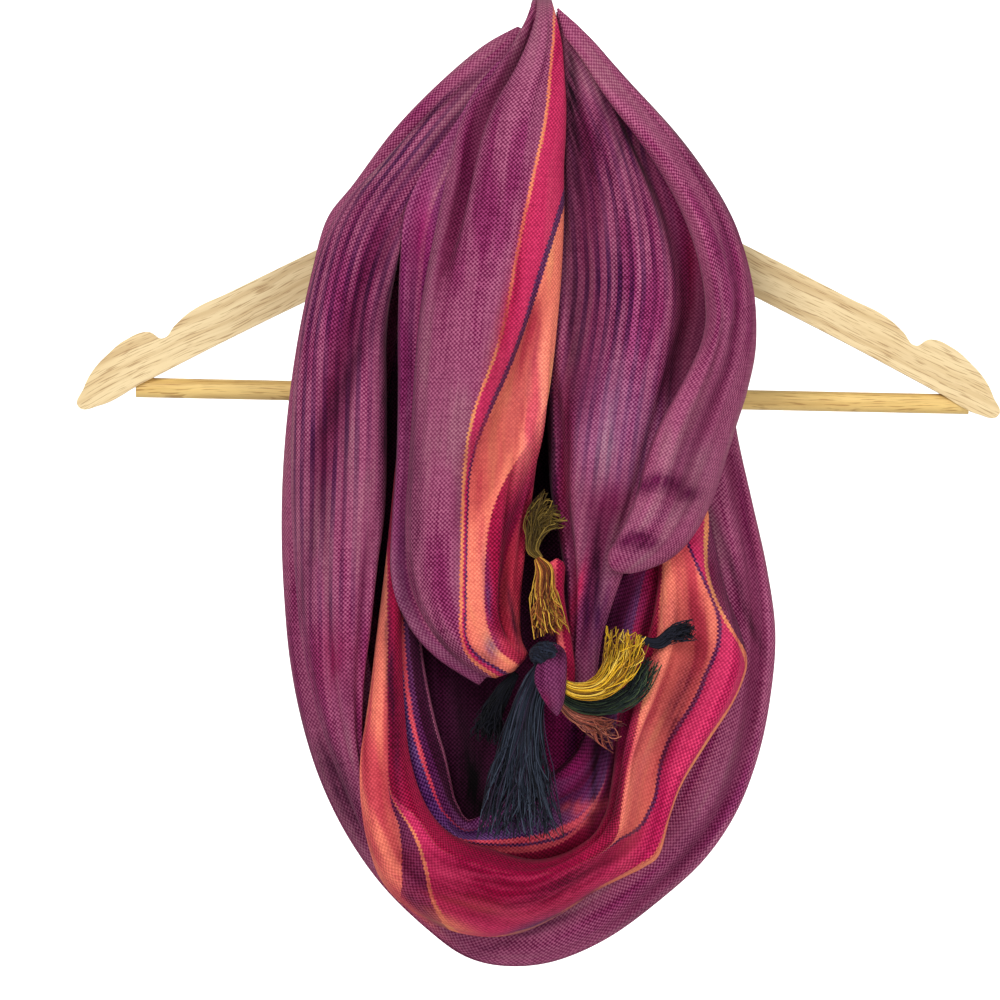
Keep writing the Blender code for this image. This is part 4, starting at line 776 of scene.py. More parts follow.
def section_points(table, arc, columns):
    """Grid of points: a row for each section, columns round it from the outer side inwards."""
    angle = np.radians(np.linspace(arc[0], arc[1], columns))
    side, rise = -softened(np.cos(angle)), softened(np.sin(angle))
    out_x, out_z, in_x, in_z, out_y, in_y, front, back = table.T[:, :, None]
    depth = np.where(rise > 0, front, back)
    x = (out_x + in_x) / 2 + (out_x - in_x) / 2 * side
    y = (out_y + in_y) / 2 + (out_y - in_y) / 2 * side - depth * rise
    z = (out_z + in_z) / 2 + (out_z - in_z) / 2 * side
    return np.stack([x, y, z], axis=2)


def outward(points):
    """Unit normals of a grid, pointing out of the stretch (towards the viewer in front)."""
    normals = np.cross(np.gradient(points, axis=0), np.gradient(points, axis=1))
    normals /= np.maximum(np.linalg.norm(normals, axis=2, keepdims=True), 1e-9)
    front_column = int(points.shape[1] * FRONT_SHARE)
    return normals if normals[:, front_column, 1].mean() < 0 else -normals


def fold_relief(folds, rows, columns):
    """Height of the folds over a grid: ridges above zero, troughs below."""
    along = np.linspace(0, 1, rows)[:, None]
    across = np.linspace(0, 1, columns)[None, :]
    relief = np.zeros((rows, columns))
    for fold in folds:
        share = np.clip((along - fold.start) / (fold.end - fold.start), 0, 1)
        centre = fold.across_start + (fold.across_end - fold.across_start) * share
        rise = np.clip((along - fold.start) / FOLD_FADE, 0, 1)
        fall = np.clip((fold.end - along) / FOLD_FADE, 0, 1)
        strength = (rise**2 * (3 - 2 * rise)) * (fall**2 * (3 - 2 * fall))
        relief += fold.height * strength * np.exp(-((across - centre) / fold.width) ** 2)
    return relief


def settle(points, solids, gap):
    """Move points towards the viewer until they clear the solids behind them."""
    rows, columns = points.shape[:2]
    need = np.zeros((rows, columns))
    for row in range(rows):
        for column in range(columns):
            x, y, z = points[row, column]
            start = Vector((x * MM, -1.0, z * MM))
            for solid in solids:
                hit = solid.ray_cast(start, Vector((0, 1, 0)))[0]
                if hit is not None:
                    need[row, column] = max(need[row, column], y - hit.y / MM + gap)
    push = need.copy()
    for _ in range(SETTLE_ROUNDS):
        wide = np.pad(push, 1, mode="edge")
        mean = (wide[:-2, 1:-1] + wide[2:, 1:-1] + wide[1:-1, :-2] + wide[1:-1, 2:]) / 4
        push = np.maximum(need, mean)
    points[:, :, 1] -= push
    return points


def refined(grid, rows, columns):
    """The same surface on a finer grid, smooth in both directions."""
    for count in (rows, columns):
        values = grid.reshape(grid.shape[0], -1)
        values = read_smoothly(values, np.linspace(0, 1, len(values)), np.linspace(0, 1, count))
        grid = values.reshape(count, grid.shape[1], -1).transpose(1, 0, 2)
    return grid


def arc_lengths(points):
    """Distance across from the middle column, and mean distance along, per point."""
    across = np.linalg.norm(np.diff(points, axis=1), axis=2)
    across = np.pad(np.cumsum(across, axis=1), ((0, 0), (1, 0)))
    along = np.linalg.norm(np.diff(points, axis=0), axis=2)
    along = np.pad(np.cumsum(along.mean(axis=1, keepdims=True), axis=0), ((1, 0), (0, 0)))
    middle = across.shape[1] // 2
    return across - across[:, middle:middle + 1], np.broadcast_to(along, across.shape)


def rounded_ends(points, start, end):
    """Draw the rows near each end in to a rounded tip. start and end are its lengths."""
    along = length_along(points.mean(axis=1))
    share = np.ones(len(points))
    if start:
        share = np.minimum(share, np.clip(along / start, 0, 1))
    if end:
        share = np.minimum(share, np.clip((along[-1] - along) / end, 0, 1))
    share = np.maximum(np.sqrt(1 - (1 - share)**2), TIP_SHARE)[:, None, None]
    middle = points.mean(axis=1, keepdims=True)
    return middle + (points - middle) * share


def drawn_together(points, edges, tip):
    """Add rows in front of the first one that draw the cloth together to a point."""
    tip = np.array(tip, float)
    count = int(np.linalg.norm(points[0].mean(axis=0) - tip) / GRID_PITCH) + 2
    share = np.linspace(TIP_SHARE, 1, count)[:-1]
    rows = tip + (points[0] - tip) * share[:, None, None]
    flat_tip = tip[[0, 2, 0, 2]]
    lines = flat_tip + (edges[0] - flat_tip) * share[:, None]
    return np.concatenate([rows, points]), np.concatenate([lines, edges])


def seeded_creases(name, height, columns):
    """Long fine folds that run with the cloth, the same in every run."""
    rng = random.Random(name)
    creases = []
    for _ in range(int(columns * CREASES_PER_COLUMN)):
        start = rng.uniform(*CREASE_START)
        across = rng.uniform(*CREASE_ACROSS)
        width = rng.uniform(*CREASE_WIDTH) / columns
        creases.append(Fold(start, min(start + rng.uniform(*CREASE_LENGTH), 1.0), across,
                            across + rng.uniform(*CREASE_WANDER),
                            rng.uniform(*CREASE_HEIGHT) * height * rng.choice((-1, 1)), width))
    return creases


def crossing_shares(path, edges):
    """Where each row's straight line from outer to inner edge meets a path: 0 outer, 1 inner.

    The path is run on at both ends so that every row meets it. Where a row meets it more than
    once, the crossing nearest to the row's middle counts.
    """
    path = from_photo(path)
    path = np.vstack([path[0] * 4 - path[1] * 3, path, path[-1] * 4 - path[-2] * 3])
    shares = []
    for out_x, out_z, in_x, in_z in edges:
        start, way = np.array([out_x, out_z]), np.array([in_x - out_x, in_z - out_z])
        steps = np.diff(path, axis=0)
        turn = way[0] * steps[:, 1] - way[1] * steps[:, 0]
        turn = np.where(np.abs(turn) < 1e-9, 1e-9, turn)
        off = path[:-1] - start
        share = (off[:, 0] * steps[:, 1] - off[:, 1] * steps[:, 0]) / turn
        place = (off[:, 0] * way[1] - off[:, 1] * way[0]) / turn
        cost = np.abs(share - 0.5) + np.where((place >= 0) & (place <= 1), 0.0, OFF_PATH_COST)
        cost[[0, -1]] += RUN_ON_COST
        shares.append(share[np.argmin(cost)])
    shares = np.pad(np.clip(shares, -0.5, 1.5), LINE_SMOOTHING, mode="edge")
    window = 2 * LINE_SMOOTHING + 1
    return np.convolve(shares, np.ones(window) / window, mode="valid")


def line_distances(lines, points, edges):
    """Distance along the cloth past each stripe line, per point; negative on its outer side."""
    out, way = edges[:, None, 0:2], edges[:, None, 2:4] - edges[:, None, 0:2]
    width = np.linalg.norm(way, axis=2)
    share = ((points[:, :, [0, 2]] - out) * way).sum(axis=2) / width**2
    share = np.maximum.accumulate(share, axis=1)
    across = arc_lengths(points)[0]
    rows = np.linspace(0, 1, len(edges))
    found, last = [], np.full(len(edges), -np.inf)
    for line in lines[1:]:
        if isinstance(line.path, tuple):
            at = np.interp(rows, np.linspace(0, 1, len(line.path)), line.path)
        else:
            at = crossing_shares(line.path, edges)
        last = np.maximum(at, last + LINE_SPACE)
        beyond = last - np.clip(last, share[:, 0], share[:, -1])
        place = [np.interp(spot, shares, places)
                 for spot, shares, places in zip(last, share, across)]
        found.append(across - (np.array(place) + beyond * width[:, 0])[:, None])
    return found


def patch_strength(patch, points):
    """Soft oval share of a patch at each point, as the viewer in front sees it."""
    off = (points[:, :, [0, 2]] - from_photo((patch.x, patch.y))) / PIXEL
    lean = math.radians(patch.turn)
    across = off[:, :, 0] * math.cos(lean) - off[:, :, 1] * math.sin(lean)
    along = off[:, :, 0] * math.sin(lean) + off[:, :, 1] * math.cos(lean)
    return patch.amount * np.exp(-(across / patch.across) ** 2 - (along / patch.along) ** 2)


def facing_front(points):
    """Share of each point that faces the viewer in front: 1 in front, 0 at the back."""
    return np.clip(0.5 - 2.0 * outward(points)[:, :, 1], 0, 1)


def painted(patches, points):
    """Dark and light thread colours, and the strength, of all painted patches together."""
    colours = np.zeros((*points.shape[:2], 6))
    strength = np.zeros(points.shape[:2])
    front = facing_front(points)
    for patch in patches:
        share = patch_strength(patch, points) * front
        pair = np.concatenate(thread_pair(patch.colour))
        colours = colours * (1 - share[:, :, None]) + share[:, :, None] * pair
        strength = strength * (1 - share) + share
    colours /= np.maximum(strength, 1e-6)[:, :, None]
    return np.dstack([colours[:, :, :3], strength]), np.dstack([colours[:, :, 3:], strength])


def mesh_object(name, verts, faces):
    """A smooth mesh object from points in metres and faces."""
    mesh = bpy.data.meshes.new(name)
    mesh.from_pydata(verts, [], faces)
    mesh.shade_smooth()
    return bpy.data.objects.new(name, mesh)


def link_in(thing):
    """Put an object into the scene."""
    bpy.context.scene.collection.objects.link(thing)


def grid_object(name, points):
    """A smooth mesh through a grid of points in millimetres, facing out, with its cloth map."""
    rows, columns = points.shape[:2]
    ways = np.cross(np.gradient(points, axis=0), np.gradient(points, axis=1))
    index = np.arange(rows * columns).reshape(rows, columns)
    corners = [index[:-1, :-1], index[1:, :-1], index[1:, 1:], index[:-1, 1:]]
    if ways[:, int(columns * FRONT_SHARE), 1].mean() > 0:
        corners.reverse()
    faces = np.stack(corners, axis=2).reshape(-1, 4)
    thing = mesh_object(name, (points.reshape(-1, 3) * MM).tolist(), faces.tolist())
    across, along = arc_lengths(points)
    places = np.stack([across, along], axis=2).reshape(-1, 2) * MM
    cloth_map = thing.data.uv_layers.new(name="Cloth")
    cloth_map.data.foreach_set("uv", places[faces.reshape(-1)].astype(np.float32).reshape(-1))
    return thing


def add_values(thing, name, values):
    """Store one number per point of a mesh for its material."""
    layer = thing.data.attributes.new(name, "FLOAT", "POINT")
    layer.data.foreach_set("value", np.asarray(values, np.float32).reshape(-1))


def add_colours(thing, name, colours):
    """Store one colour per point of a mesh for its material."""
    layer = thing.data.attributes.new(name, "FLOAT_COLOR", "POINT")
    layer.data.foreach_set("color", np.asarray(colours, np.float32).reshape(-1))


class Shading:
    """Small helper that builds a material's nodes."""

    def __init__(self, name):
        self.material = bpy.data.materials.new(name)
        self.material.use_nodes = True
        self.nodes = self.material.node_tree.nodes
        self.shader = self.nodes["Principled BSDF"]

    def link(self, source, socket):
        """Connect an output, or set a plain value."""
        if isinstance(source, bpy.types.NodeSocket):
            self.material.node_tree.links.new(source, socket)
        else:
            socket.default_value = source

    def filled(self, kind, *values):
        """A node of a kind with its first inputs filled."""
        node = self.nodes.new(kind)
        for socket, value in zip(node.inputs, values):
            self.link(value, socket)
        return node

    def math(self, operation, *values):
        """A Math node."""
        node = self.filled("ShaderNodeMath", *values)
        node.operation = operation
        return node.outputs[0]

    def weighted(self, *terms):
        """The sum of values times their factors."""
        total = 0.0
        for value, factor in terms:
            total = self.math("ADD", total, self.math("MULTIPLY", value, factor))
        return total

    def attribute(self, name, output="Fac"):
        """A value stored on the mesh."""
        node = self.nodes.new("ShaderNodeAttribute")
        node.attribute_name = name
        return node.outputs[output]

    def noise(self, vector, scale=1.0, detail=2.0):
        """A noise value from 0 to 1."""
        node = self.nodes.new("ShaderNodeTexNoise")
        self.link(vector, node.inputs["Vector"])
        node.inputs["Scale"].default_value = scale
        node.inputs["Detail"].default_value = detail
        return node.outputs["Fac"]

    def drawn_noise(self, axes, scales, seed=0.0, detail=2.0):
        """Noise with its own number of features a unit along each of two axes."""
        places = [self.math("MULTIPLY", axis, scale) for axis, scale in zip(axes, scales)]
        vector = self.filled("ShaderNodeCombineXYZ", *places, seed).outputs[0]
        return self.noise(vector, detail=detail)

    def ramp(self, value, low, high, to_low=0.0, to_high=1.0):
        """A clamped smooth rise between two values."""
        node = self.filled("ShaderNodeMapRange", value, low, high, to_low, to_high)
        node.interpolation_type = "SMOOTHSTEP"
        return node.outputs[0]

    def mix(self, share, low, high, blend="MIX"):
        """A mix of two colours."""
        node = self.nodes.new("ShaderNodeMix")
        node.data_type = "RGBA"
        node.blend_type = blend
        self.link(share, node.inputs["Factor"])
        for colour, key in ((low, "A_Color"), (high, "B_Color")):
            socket = next(item for item in node.inputs if item.identifier == key)
            plain = (*colour, 1.0) if isinstance(colour, tuple) and len(colour) == 3 else colour
            self.link(plain, socket)
        return next(item for item in node.outputs if item.identifier == "Result_Color")

    def mix_pair(self, share, pair, other):
        """A mix of two pairs of thread colours."""
        return [self.mix(share, low, high) for low, high in zip(pair, other)]

    def tinted(self, share, colour, tint):
        """A colour that is multiplied by a tint where share is 1."""
        return self.mix(share, colour, self.mix(1.0, colour, tint, "MULTIPLY"))

    def bump(self, height, distance, strength):
        """Relief from a height value."""
        node = self.nodes.new("ShaderNodeBump")
        node.inputs["Distance"].default_value = distance
        node.inputs["Strength"].default_value = strength
        self.link(height, node.inputs["Height"])
        self.link(node.outputs[0], self.shader.inputs["Normal"])

    def finished(self, colour, roughness, specular, sheen=0.0):
        """The material, with its colour and surface set."""
        self.link(colour, self.shader.inputs["Base Color"])
        self.shader.inputs["Roughness"].default_value = roughness
        self.shader.inputs["Specular IOR Level"].default_value = specular
        self.shader.inputs["Sheen Weight"].default_value = sheen
        return self.material


class ClothShading(Shading):
    """Shading of cloth, with its places across and along in millimetres."""

    def __init__(self, name):
        super().__init__(name)
        cloth_map = self.nodes.new("ShaderNodeUVMap")
        cloth_map.uv_map = "Cloth"
        split = self.filled("ShaderNodeSeparateXYZ", cloth_map.outputs[0])
        self.axes = [self.math("MULTIPLY", split.outputs[axis], 1 / MM) for axis in (0, 1)]

    def wave(self, axis, pitch):
        """A wave from -1 to 1 with one crest each pitch."""
        return self.math("SINE", self.math("MULTIPLY", axis, math.tau / pitch))

    def cloud(self, per_across, per_along, seed, detail):
        """Noise with its own number of features a millimetre across and along the cloth."""
        return self.drawn_noise(self.axes, (per_across, per_along), seed, detail)


def thread_pair(colour):
    """The dark and the light thread that weave a colour.

    The threads of a bright colour differ less. A pure or dark colour takes less lilac.
    """
    most = max(*colour, 1e-6)
    contrast = min(max(CONTRAST_TOP - most, LEAST_CONTRAST), 1.0)
    dull = min(min(colour) / most / DULL_SHARE, 1.0) * min(most / BRIGHT, 1.0)
    low = tuple(value * (1 - contrast * loss) for value, loss in zip(colour, DARK_LOSS))
    lilac_share = LILAC_SHARE * contrast * dull
    high = tuple(value * (1 + LIGHT_GAIN * contrast) * (1 - lilac_share) + lilac * lilac_share
                 for value, lilac in zip(colour, LILAC))
    return low, high


def striped(cloth, lines, weft):
    """The pair of thread colours of the stripes, with ragged and toothed edges."""
    stray = cloth.math("SUBTRACT", cloth.cloud(*STRAY), 0.5)
    edge = cloth.weighted((stray, STRIPE_RAGGED), (weft, STRIPE_TEETH))
    pair = thread_pair(lines[0].colour)
    for order, line in enumerate(lines[1:], 1):
        past = cloth.math("ADD", cloth.attribute(f"line_{order}"), edge)
        share = cloth.ramp(past, -STRIPE_BLEND, STRIPE_BLEND)
        pair = cloth.mix_pair(share, pair, thread_pair(line.colour))
    return pair


def dashed(cloth, pair):
    """The pair of thread colours with dark dashes woven in, and lilac threads between them."""
    lines = cloth.wave(cloth.axes[0], DASH_PITCH)
    breaks = cloth.ramp(cloth.cloud(*DASH_BREAKS), 0.34, 0.60, 0.62, 1.0)
    area = cloth.math("MULTIPLY", cloth.attribute("dash"), breaks)
    dash = cloth.math("MULTIPLY", cloth.ramp(lines, -0.1, 0.55), area)
    low, high = cloth.mix_pair(dash, pair, thread_pair(DASH_COLOUR))
    gap = cloth.math("MULTIPLY", cloth.ramp(lines, -0.1, -0.9, 0.0, 0.22), area)
    return low, cloth.mix(gap, high, LILAC)


def patched(cloth, pair):
    """The pair of thread colours with the painted patches over it, as uneven as dye. The patches hold
    dye, painted shade and painted light.
    """
    loose = cloth.ramp(cloth.cloud(*LOOSE_DYE), 0.25, 0.75, 0.7, 1.3)
    strength = cloth.math("MULTIPLY", cloth.attribute("painted_low", "Alpha"), loose)
    paint = [cloth.attribute(layer, "Color") for layer in ("painted_low", "painted_high")]
    return cloth.mix_pair(cloth.math("MINIMUM", strength, 1.0), pair, paint)


def cloth_material(name, finish):
    """Handwoven cloth: stripes, dashes and patches, all in dots of two threads, with painted shade in
    the fold hollows.
    """
    cloth = ClothShading(name)
    warp, weft = (cloth.wave(axis, THREAD_PITCH) for axis in cloth.axes)
    pair = striped(cloth, finish.lines, weft)
    if finish.dashes:
        pair = dashed(cloth, pair)
    if finish.patches:
        pair = patched(cloth, pair)

    slub = cloth.math("SUBTRACT", cloth.cloud(*SLUB), 0.5)
    pick = cloth.math("SUBTRACT", cloth.cloud(*PICK), 0.5)
    uneven = cloth.math("MULTIPLY", cloth.math("ADD", slub, pick), THREAD_UNEVEN)
    dots = cloth.math("ADD", cloth.math("MULTIPLY", warp, weft), uneven)
    over = cloth.ramp(dots, -0.35, 0.45)
    dye = cloth.cloud(*DYE)
    depth = cloth.ramp(dye, 0.40, 0.60, *DOTS_SHOW)
    show = cloth.math("MULTIPLY", depth, cloth.math("SUBTRACT", over, 0.5))
    # Painted shade: fewer light dots show in the fold hollows
    hollow = cloth.attribute("hollow")
    show = cloth.math("MULTIPLY", cloth.math("ADD", 0.5, show),
                      cloth.ramp(hollow, -1.0, 1.0, 1.0, 0.62))

    colour = cloth.mix(show, *pair)
    fleck = cloth.cloud(*FLECK)
    # Painted shade in the fold hollows, then dark clouds, dusty clouds and flecks of uneven dye
    for share, tint in ((cloth.ramp(hollow, 0.0, 1.0, 0.0, 0.75), HOLLOW_SHADE_TINT),
                        (cloth.ramp(dye, 0.50, 0.66), CLOUD_TINT),
                        (cloth.ramp(dye, 0.46, 0.32), DUST_TINT),
                        (cloth.ramp(fleck, 0.35, 0.75, 0.0, 0.40), FLECK_TINT)):
        colour = cloth.tinted(share, colour, tint)
    cloth.bump(over, distance=0.00022, strength=0.8)
    return cloth.finished(colour, roughness=0.95, specular=0.08, sheen=0.03)


def yarn_material(name):
    """Soft dyed yarn; each strand keeps its own shade."""
    yarn = Shading(name)
    place = yarn.nodes.new("ShaderNodeTexCoord").outputs["Object"]
    fuzz = yarn.ramp(yarn.noise(place, YARN_FUZZ, 3.0), 0.3, 0.7, 0.0, 0.5)
    colour = yarn.tinted(fuzz, yarn.attribute("yarn", "Color"), FUZZ_TINT)
    return yarn.finished(colour, roughness=0.85, specular=0.15, sheen=0.03)


def wood_material(name, grain, slope):
    """Satin wood with its pale and dark grain along each arm. slope is the arm's fall."""
    wood = Shading(name)
    place = wood.nodes.new("ShaderNodeTexCoord").outputs["Object"]
    x, y, z = wood.filled("ShaderNodeSeparateXYZ", place).outputs
    away, arm = wood.math("ABSOLUTE", x), wood.math("SIGN", x)
    lean = math.atan(slope)
    along = wood.weighted((away, math.cos(lean)), (z, -math.sin(lean)))
    drift = wood.drawn_noise((along, arm), GRAIN_DRIFT)
    side = wood.weighted((away, math.sin(lean)), (z, math.cos(lean)), (y, 0.6), (drift, 0.010))
    rings, pores, bands = (wood.drawn_noise((along, side), scales, arm, detail)
                           for scales, detail in (RINGS, PORES, BANDS))
    colour = wood.mix(wood.ramp(rings, 0.40, 0.70, 0.0, 0.7), *grain)
    colour = wood.tinted(wood.ramp(bands, 0.40, 0.70, 0.0, 0.5), colour, BAND_TINT)
    colour = wood.tinted(wood.ramp(pores, 0.54, 0.64, 0.0, 0.8), colour, PORE_TINT)
    wood.bump(pores, distance=0.0001, strength=0.4)
    return wood.finished(colour, roughness=0.5, specular=0.3)


def plain_material(name, colour, roughness, metallic=0.0):
    """One colour all over."""
    shading = Shading(name)
    shading.shader.inputs["Base Color"].default_value = (*colour, 1.0)
    shading.shader.inputs["Roughness"].default_value = roughness
    shading.shader.inputs["Metallic"].default_value = metallic
    return shading.material


def hand_in(thing, node, material):
    """Put a finished piece into the scene, on the one body, to stand for its solid."""
    link_in(thing)
    thing.data.materials.clear()
    thing.data.materials.append(material)
    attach(thing, "root")
    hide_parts(node)


def tree_of(thing):
    """Search tree over the finished shape of an object."""
    return BVHTree.FromObject(thing, bpy.context.evaluated_depsgraph_get())


def solid_tree(node):
    """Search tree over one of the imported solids."""
    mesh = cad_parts[node].data
    return BVHTree.FromPolygons([vert.co for vert in mesh.vertices],
                                [face.vertices[:] for face in mesh.polygons])


def cloth_grid(name, stretch, finish, shown):
    """Points of a stretch's shown cloth, the edges of its rows and the height of its folds."""
    table = station_rows(stretch.stations, stretch.rows)
    points = section_points(table, stretch.arc, stretch.columns)
    relief = fold_relief(stretch.folds, stretch.rows, stretch.columns)
    points = settle(points + outward(points) * relief[:, :, None],
                    [solid_tree(carrier) for carrier in stretch.rests_on], CLOTH_WALL + CLOTH_GAP)
    across, along = arc_lengths(points)
    columns = int(np.ptp(across, axis=1).max() / GRID_PITCH) + 2
    rows = int(along[-1].max() / GRID_PITCH) + 2
    points = refined(points, rows, columns)
    edges = read_smoothly(table[:, :4], np.linspace(0, 1, len(table)), np.linspace(0, 1, rows))
    creases = finish.creases + seeded_creases(name, finish.ripple, columns)
    points = points + outward(points) * fold_relief(creases, rows, columns)[:, :, None]
    if name in DRAWN_TO:
        points, edges = drawn_together(points, edges, DRAWN_TO[name])
    points = rounded_ends(points, *ROUNDED.get(name, (0, 0)))
    points = settle(points, [shown[carrier] for carrier in stretch.rests_on],
                    SHOWN_WALL + SHOWN_GAP)
    return points, edges, fold_relief(stretch.folds + creases, len(points), columns)


def shown_cloth(name, stretch, finish, shown):
    """The visible cloth of one stretch: over its solid, finely creased, striped."""
    points, edges, relief = cloth_grid(name, stretch, finish, shown)
    cloth = grid_object(name + "_cloth", points)
    for order, distance in enumerate(line_distances(finish.lines, points, edges), 1):
        add_values(cloth, f"line_{order}", distance)
    # Fold depth, which the material turns into painted shade in the hollows
    add_values(cloth, "hollow", np.clip(-relief / HOLLOW_DEPTH, -1, 1))
    if finish.patches:
        for layer, colours in zip(("painted_low", "painted_high"),
                                  painted(finish.patches, points)):
            add_colours(cloth, layer, colours)
    if finish.dashes:
        strengths = [patch_strength(patch, points) for patch in finish.dashes]
        add_values(cloth, "dash", np.max(strengths, axis=0) * facing_front(points))
    hand_in(cloth, name, cloth_material(name + "_cloth", finish))
    inside = finish._replace(patches=[], dashes=[])
    cloth.data.materials.append(cloth_material(name + "_inside", inside))
    wall = cloth.modifiers.new("wall", "SOLIDIFY")
    wall.thickness = SHOWN_WALL * MM
    wall.offset = -1.0
    wall.material_offset = 1
    bpy.context.view_layer.update()
    return cloth


def unit(ways):
    """Directions of length 1."""
    return ways / np.linalg.norm(ways, axis=-1, keepdims=True)


def tassel_frame(path, share):
    """Middle point, across and deep directions of a tassel at a share of its length."""
    points = np.array(path, float)
    at = length_along(points)
    line = read_smoothly(points, at, np.linspace(0, at[-1], PATH_STEPS + 1))
    step = share * PATH_STEPS
    low = min(int(step), PATH_STEPS - 1)
    middle = line[low] + (line[low + 1] - line[low]) * (step - low)
    forward = unit(line[low + 1] - line[low])
    across = unit(np.cross(forward, (0, 1, 0)))
    return middle, across, np.cross(across, forward)


def yarn_tubes(name, strands, radius):
    """One mesh of thin strands. Each strand is its points and its colour."""
    turns = np.linspace(0, math.tau, YARN_SIDES, endpoint=False)[:, None]
    verts, faces, colours = [], [], []
    for points, colour in strands:
        ways = np.gradient(points, axis=0)
        side = unit(np.cross(ways, YARN_ASIDE))
        lift = unit(np.cross(side, ways))
        rings = points[:, None] + radius * (side[:, None] * np.cos(turns)
                                            + lift[:, None] * np.sin(turns))
        index = len(verts) + np.arange(len(points) * YARN_SIDES).reshape(-1, YARN_SIDES)
        after = np.roll(index, -1, axis=1)
        quads = np.stack([index[:-1], after[:-1], after[1:], index[1:]], axis=2)
        faces += quads.reshape(-1, 4).tolist()
        faces += [index[0].tolist(), index[-1, ::-1].tolist()]
        verts += (rings.reshape(-1, 3) * MM).tolist()
        colours += [(*colour, 1.0)] * index.size
    thing = mesh_object(name, verts, faces)
    add_colours(thing, "yarn", colours)
    return thing


def strand_points(rng, tassel, frames, hidden):
    """One strand: it leaves the knot in the bundle, then strays and waves."""
    turn, reach = rng.uniform(0, math.tau), math.sqrt(rng.random())
    root = np.array([math.cos(turn), math.sin(turn)]) * reach * ROOT_SPREAD
    lock = rng.choice((-1, 1)) * tassel.parting
    stray = tassel.stray * (LOOSE_STRAY if rng.random() < LOOSE_SHARE else 1.0)
    drift = np.array([rng.gauss(lock, stray), rng.gauss(0, stray)])
    squeeze = np.array([tassel.parting, 0.0])
    waves = [(rng.uniform(*WAVE_COUNT), rng.uniform(0, math.tau), rng.gauss(0, stray * WAVE_SWING))
             for _ in range(STRAND_WAVES)]
    end = rng.uniform(*STRAND_END)
    root_size, tip_size = np.array(tassel.root_size), np.array(tassel.tip_size)
    points = []
    for step in range(YARN_STEPS + 1):
        share = end * step / YARN_STEPS
        low = min(int(share * PATH_STEPS), PATH_STEPS - 1)
        part = share * PATH_STEPS - low
        middle = frames[low][0] * (1 - part) + frames[low + 1][0] * part
        grown = max((share - hidden) / (1 - hidden), 0.0)
        spread = min(HIDDEN_SPREAD + share / hidden * (1 - HIDDEN_SPREAD), 1.0)
        offset = root * (1 - grown * squeeze) * spread + drift * grown**DRIFT_POWER
        for count, phase, swing in waves:
            offset = offset + swing * grown * math.sin(count * math.tau * grown + phase)
        offset = np.clip(offset, -WIDEST, WIDEST) * (root_size + (tip_size - root_size) * grown)
        across, deep = frames[low][1:]
        points.append(middle + across * offset[0] + deep * offset[1])
    return np.array(points)


def make_tassel(name, tassel, seed):
    """A tassel of loose strands along the middle line of its solid."""
    rng = random.Random(seed)
    path = [tassel.source] + tassel.path
    lengths = length_along(np.array(path, float))
    frames = [tassel_frame(path, step / PATH_STEPS) for step in range(PATH_STEPS + 1)]
    strands = []
    for _ in range(tassel.count):
        points = strand_points(rng, tassel, frames, lengths[1] / lengths[-1])
        shade = np.array(linear(*rng.choice(tassel.shades))) * rng.uniform(*SHADE_RANGE)
        strands.append((points, tuple(shade)))
    thing = yarn_tubes(name + "_yarn", strands, YARN_RADIUS)
    hand_in(thing, name, yarn_material(name + "_yarn"))


def make_knot():
    """The bound ball: turns of thread wound about many axes."""
    rng = random.Random(KNOT_SEED)
    strands = []
    for _ in range(KNOT_TURNS):
        axis = Vector((rng.gauss(0.5, 0.5), rng.gauss(0, 0.5), rng.gauss(1, 0.4))).normalized()
        side = np.array(axis.orthogonal().normalized())
        lift = np.cross(axis, side)
        off = np.array(axis) * rng.uniform(-0.75, 0.75)
        reach = math.sqrt(1 - float(off @ off))
        ring = [np.array(KNOT_CENTRE) + np.array(KNOT_SIZE) * rng.uniform(0.9, 1.06)
                * (off + reach * (side * math.cos(step) + lift * math.sin(step)))
                for step in np.linspace(0, math.tau, KNOT_TURN_STEPS)]
        strands.append((np.array(ring), linear(*rng.choice(KNOT_SHADES))))
    thing = yarn_tubes("knot_yarn", strands, KNOT_YARN_RADIUS)
    hand_in(thing, "knot", yarn_material("knot_yarn"))


def curve_as_mesh(name, curve):
    """The closed mesh of a curve object, with its caps welded."""
    guide = bpy.data.objects.new(name + "_guide", curve)
    link_in(guide)
    depsgraph = bpy.context.evaluated_depsgraph_get()
    mesh = bpy.data.meshes.new_from_object(guide.evaluated_get(depsgraph))
    mesh.name = name
    bpy.data.objects.remove(guide, do_unlink=True)
    welded = bmesh.new()
    welded.from_mesh(mesh)
    bmesh.ops.remove_doubles(welded, verts=welded.verts, dist=1e-6)
    welded.to_mesh(mesh)
    welded.free()
    return mesh


def round_rod(name, points, radius, radii=None, sides=8):
    """A round rod or wire along points, as a smooth closed mesh object."""
    curve = bpy.data.curves.new(name, "CURVE")
    curve.dimensions = "3D"
    curve.bevel_depth = radius * MM
    curve.bevel_resolution = sides
    curve.use_fill_caps = True
    spline = curve.splines.new("POLY")
    spline.points.add(len(points) - 1)
    for index, point in enumerate(points):
        spline.points[index].co = (*(value * MM for value in point), 1.0)
        spline.points[index].radius = radii[index] if radii else 1.0
    mesh = curve_as_mesh(name, curve)
    mesh.shade_smooth()
    return bpy.data.objects.new(name, mesh)


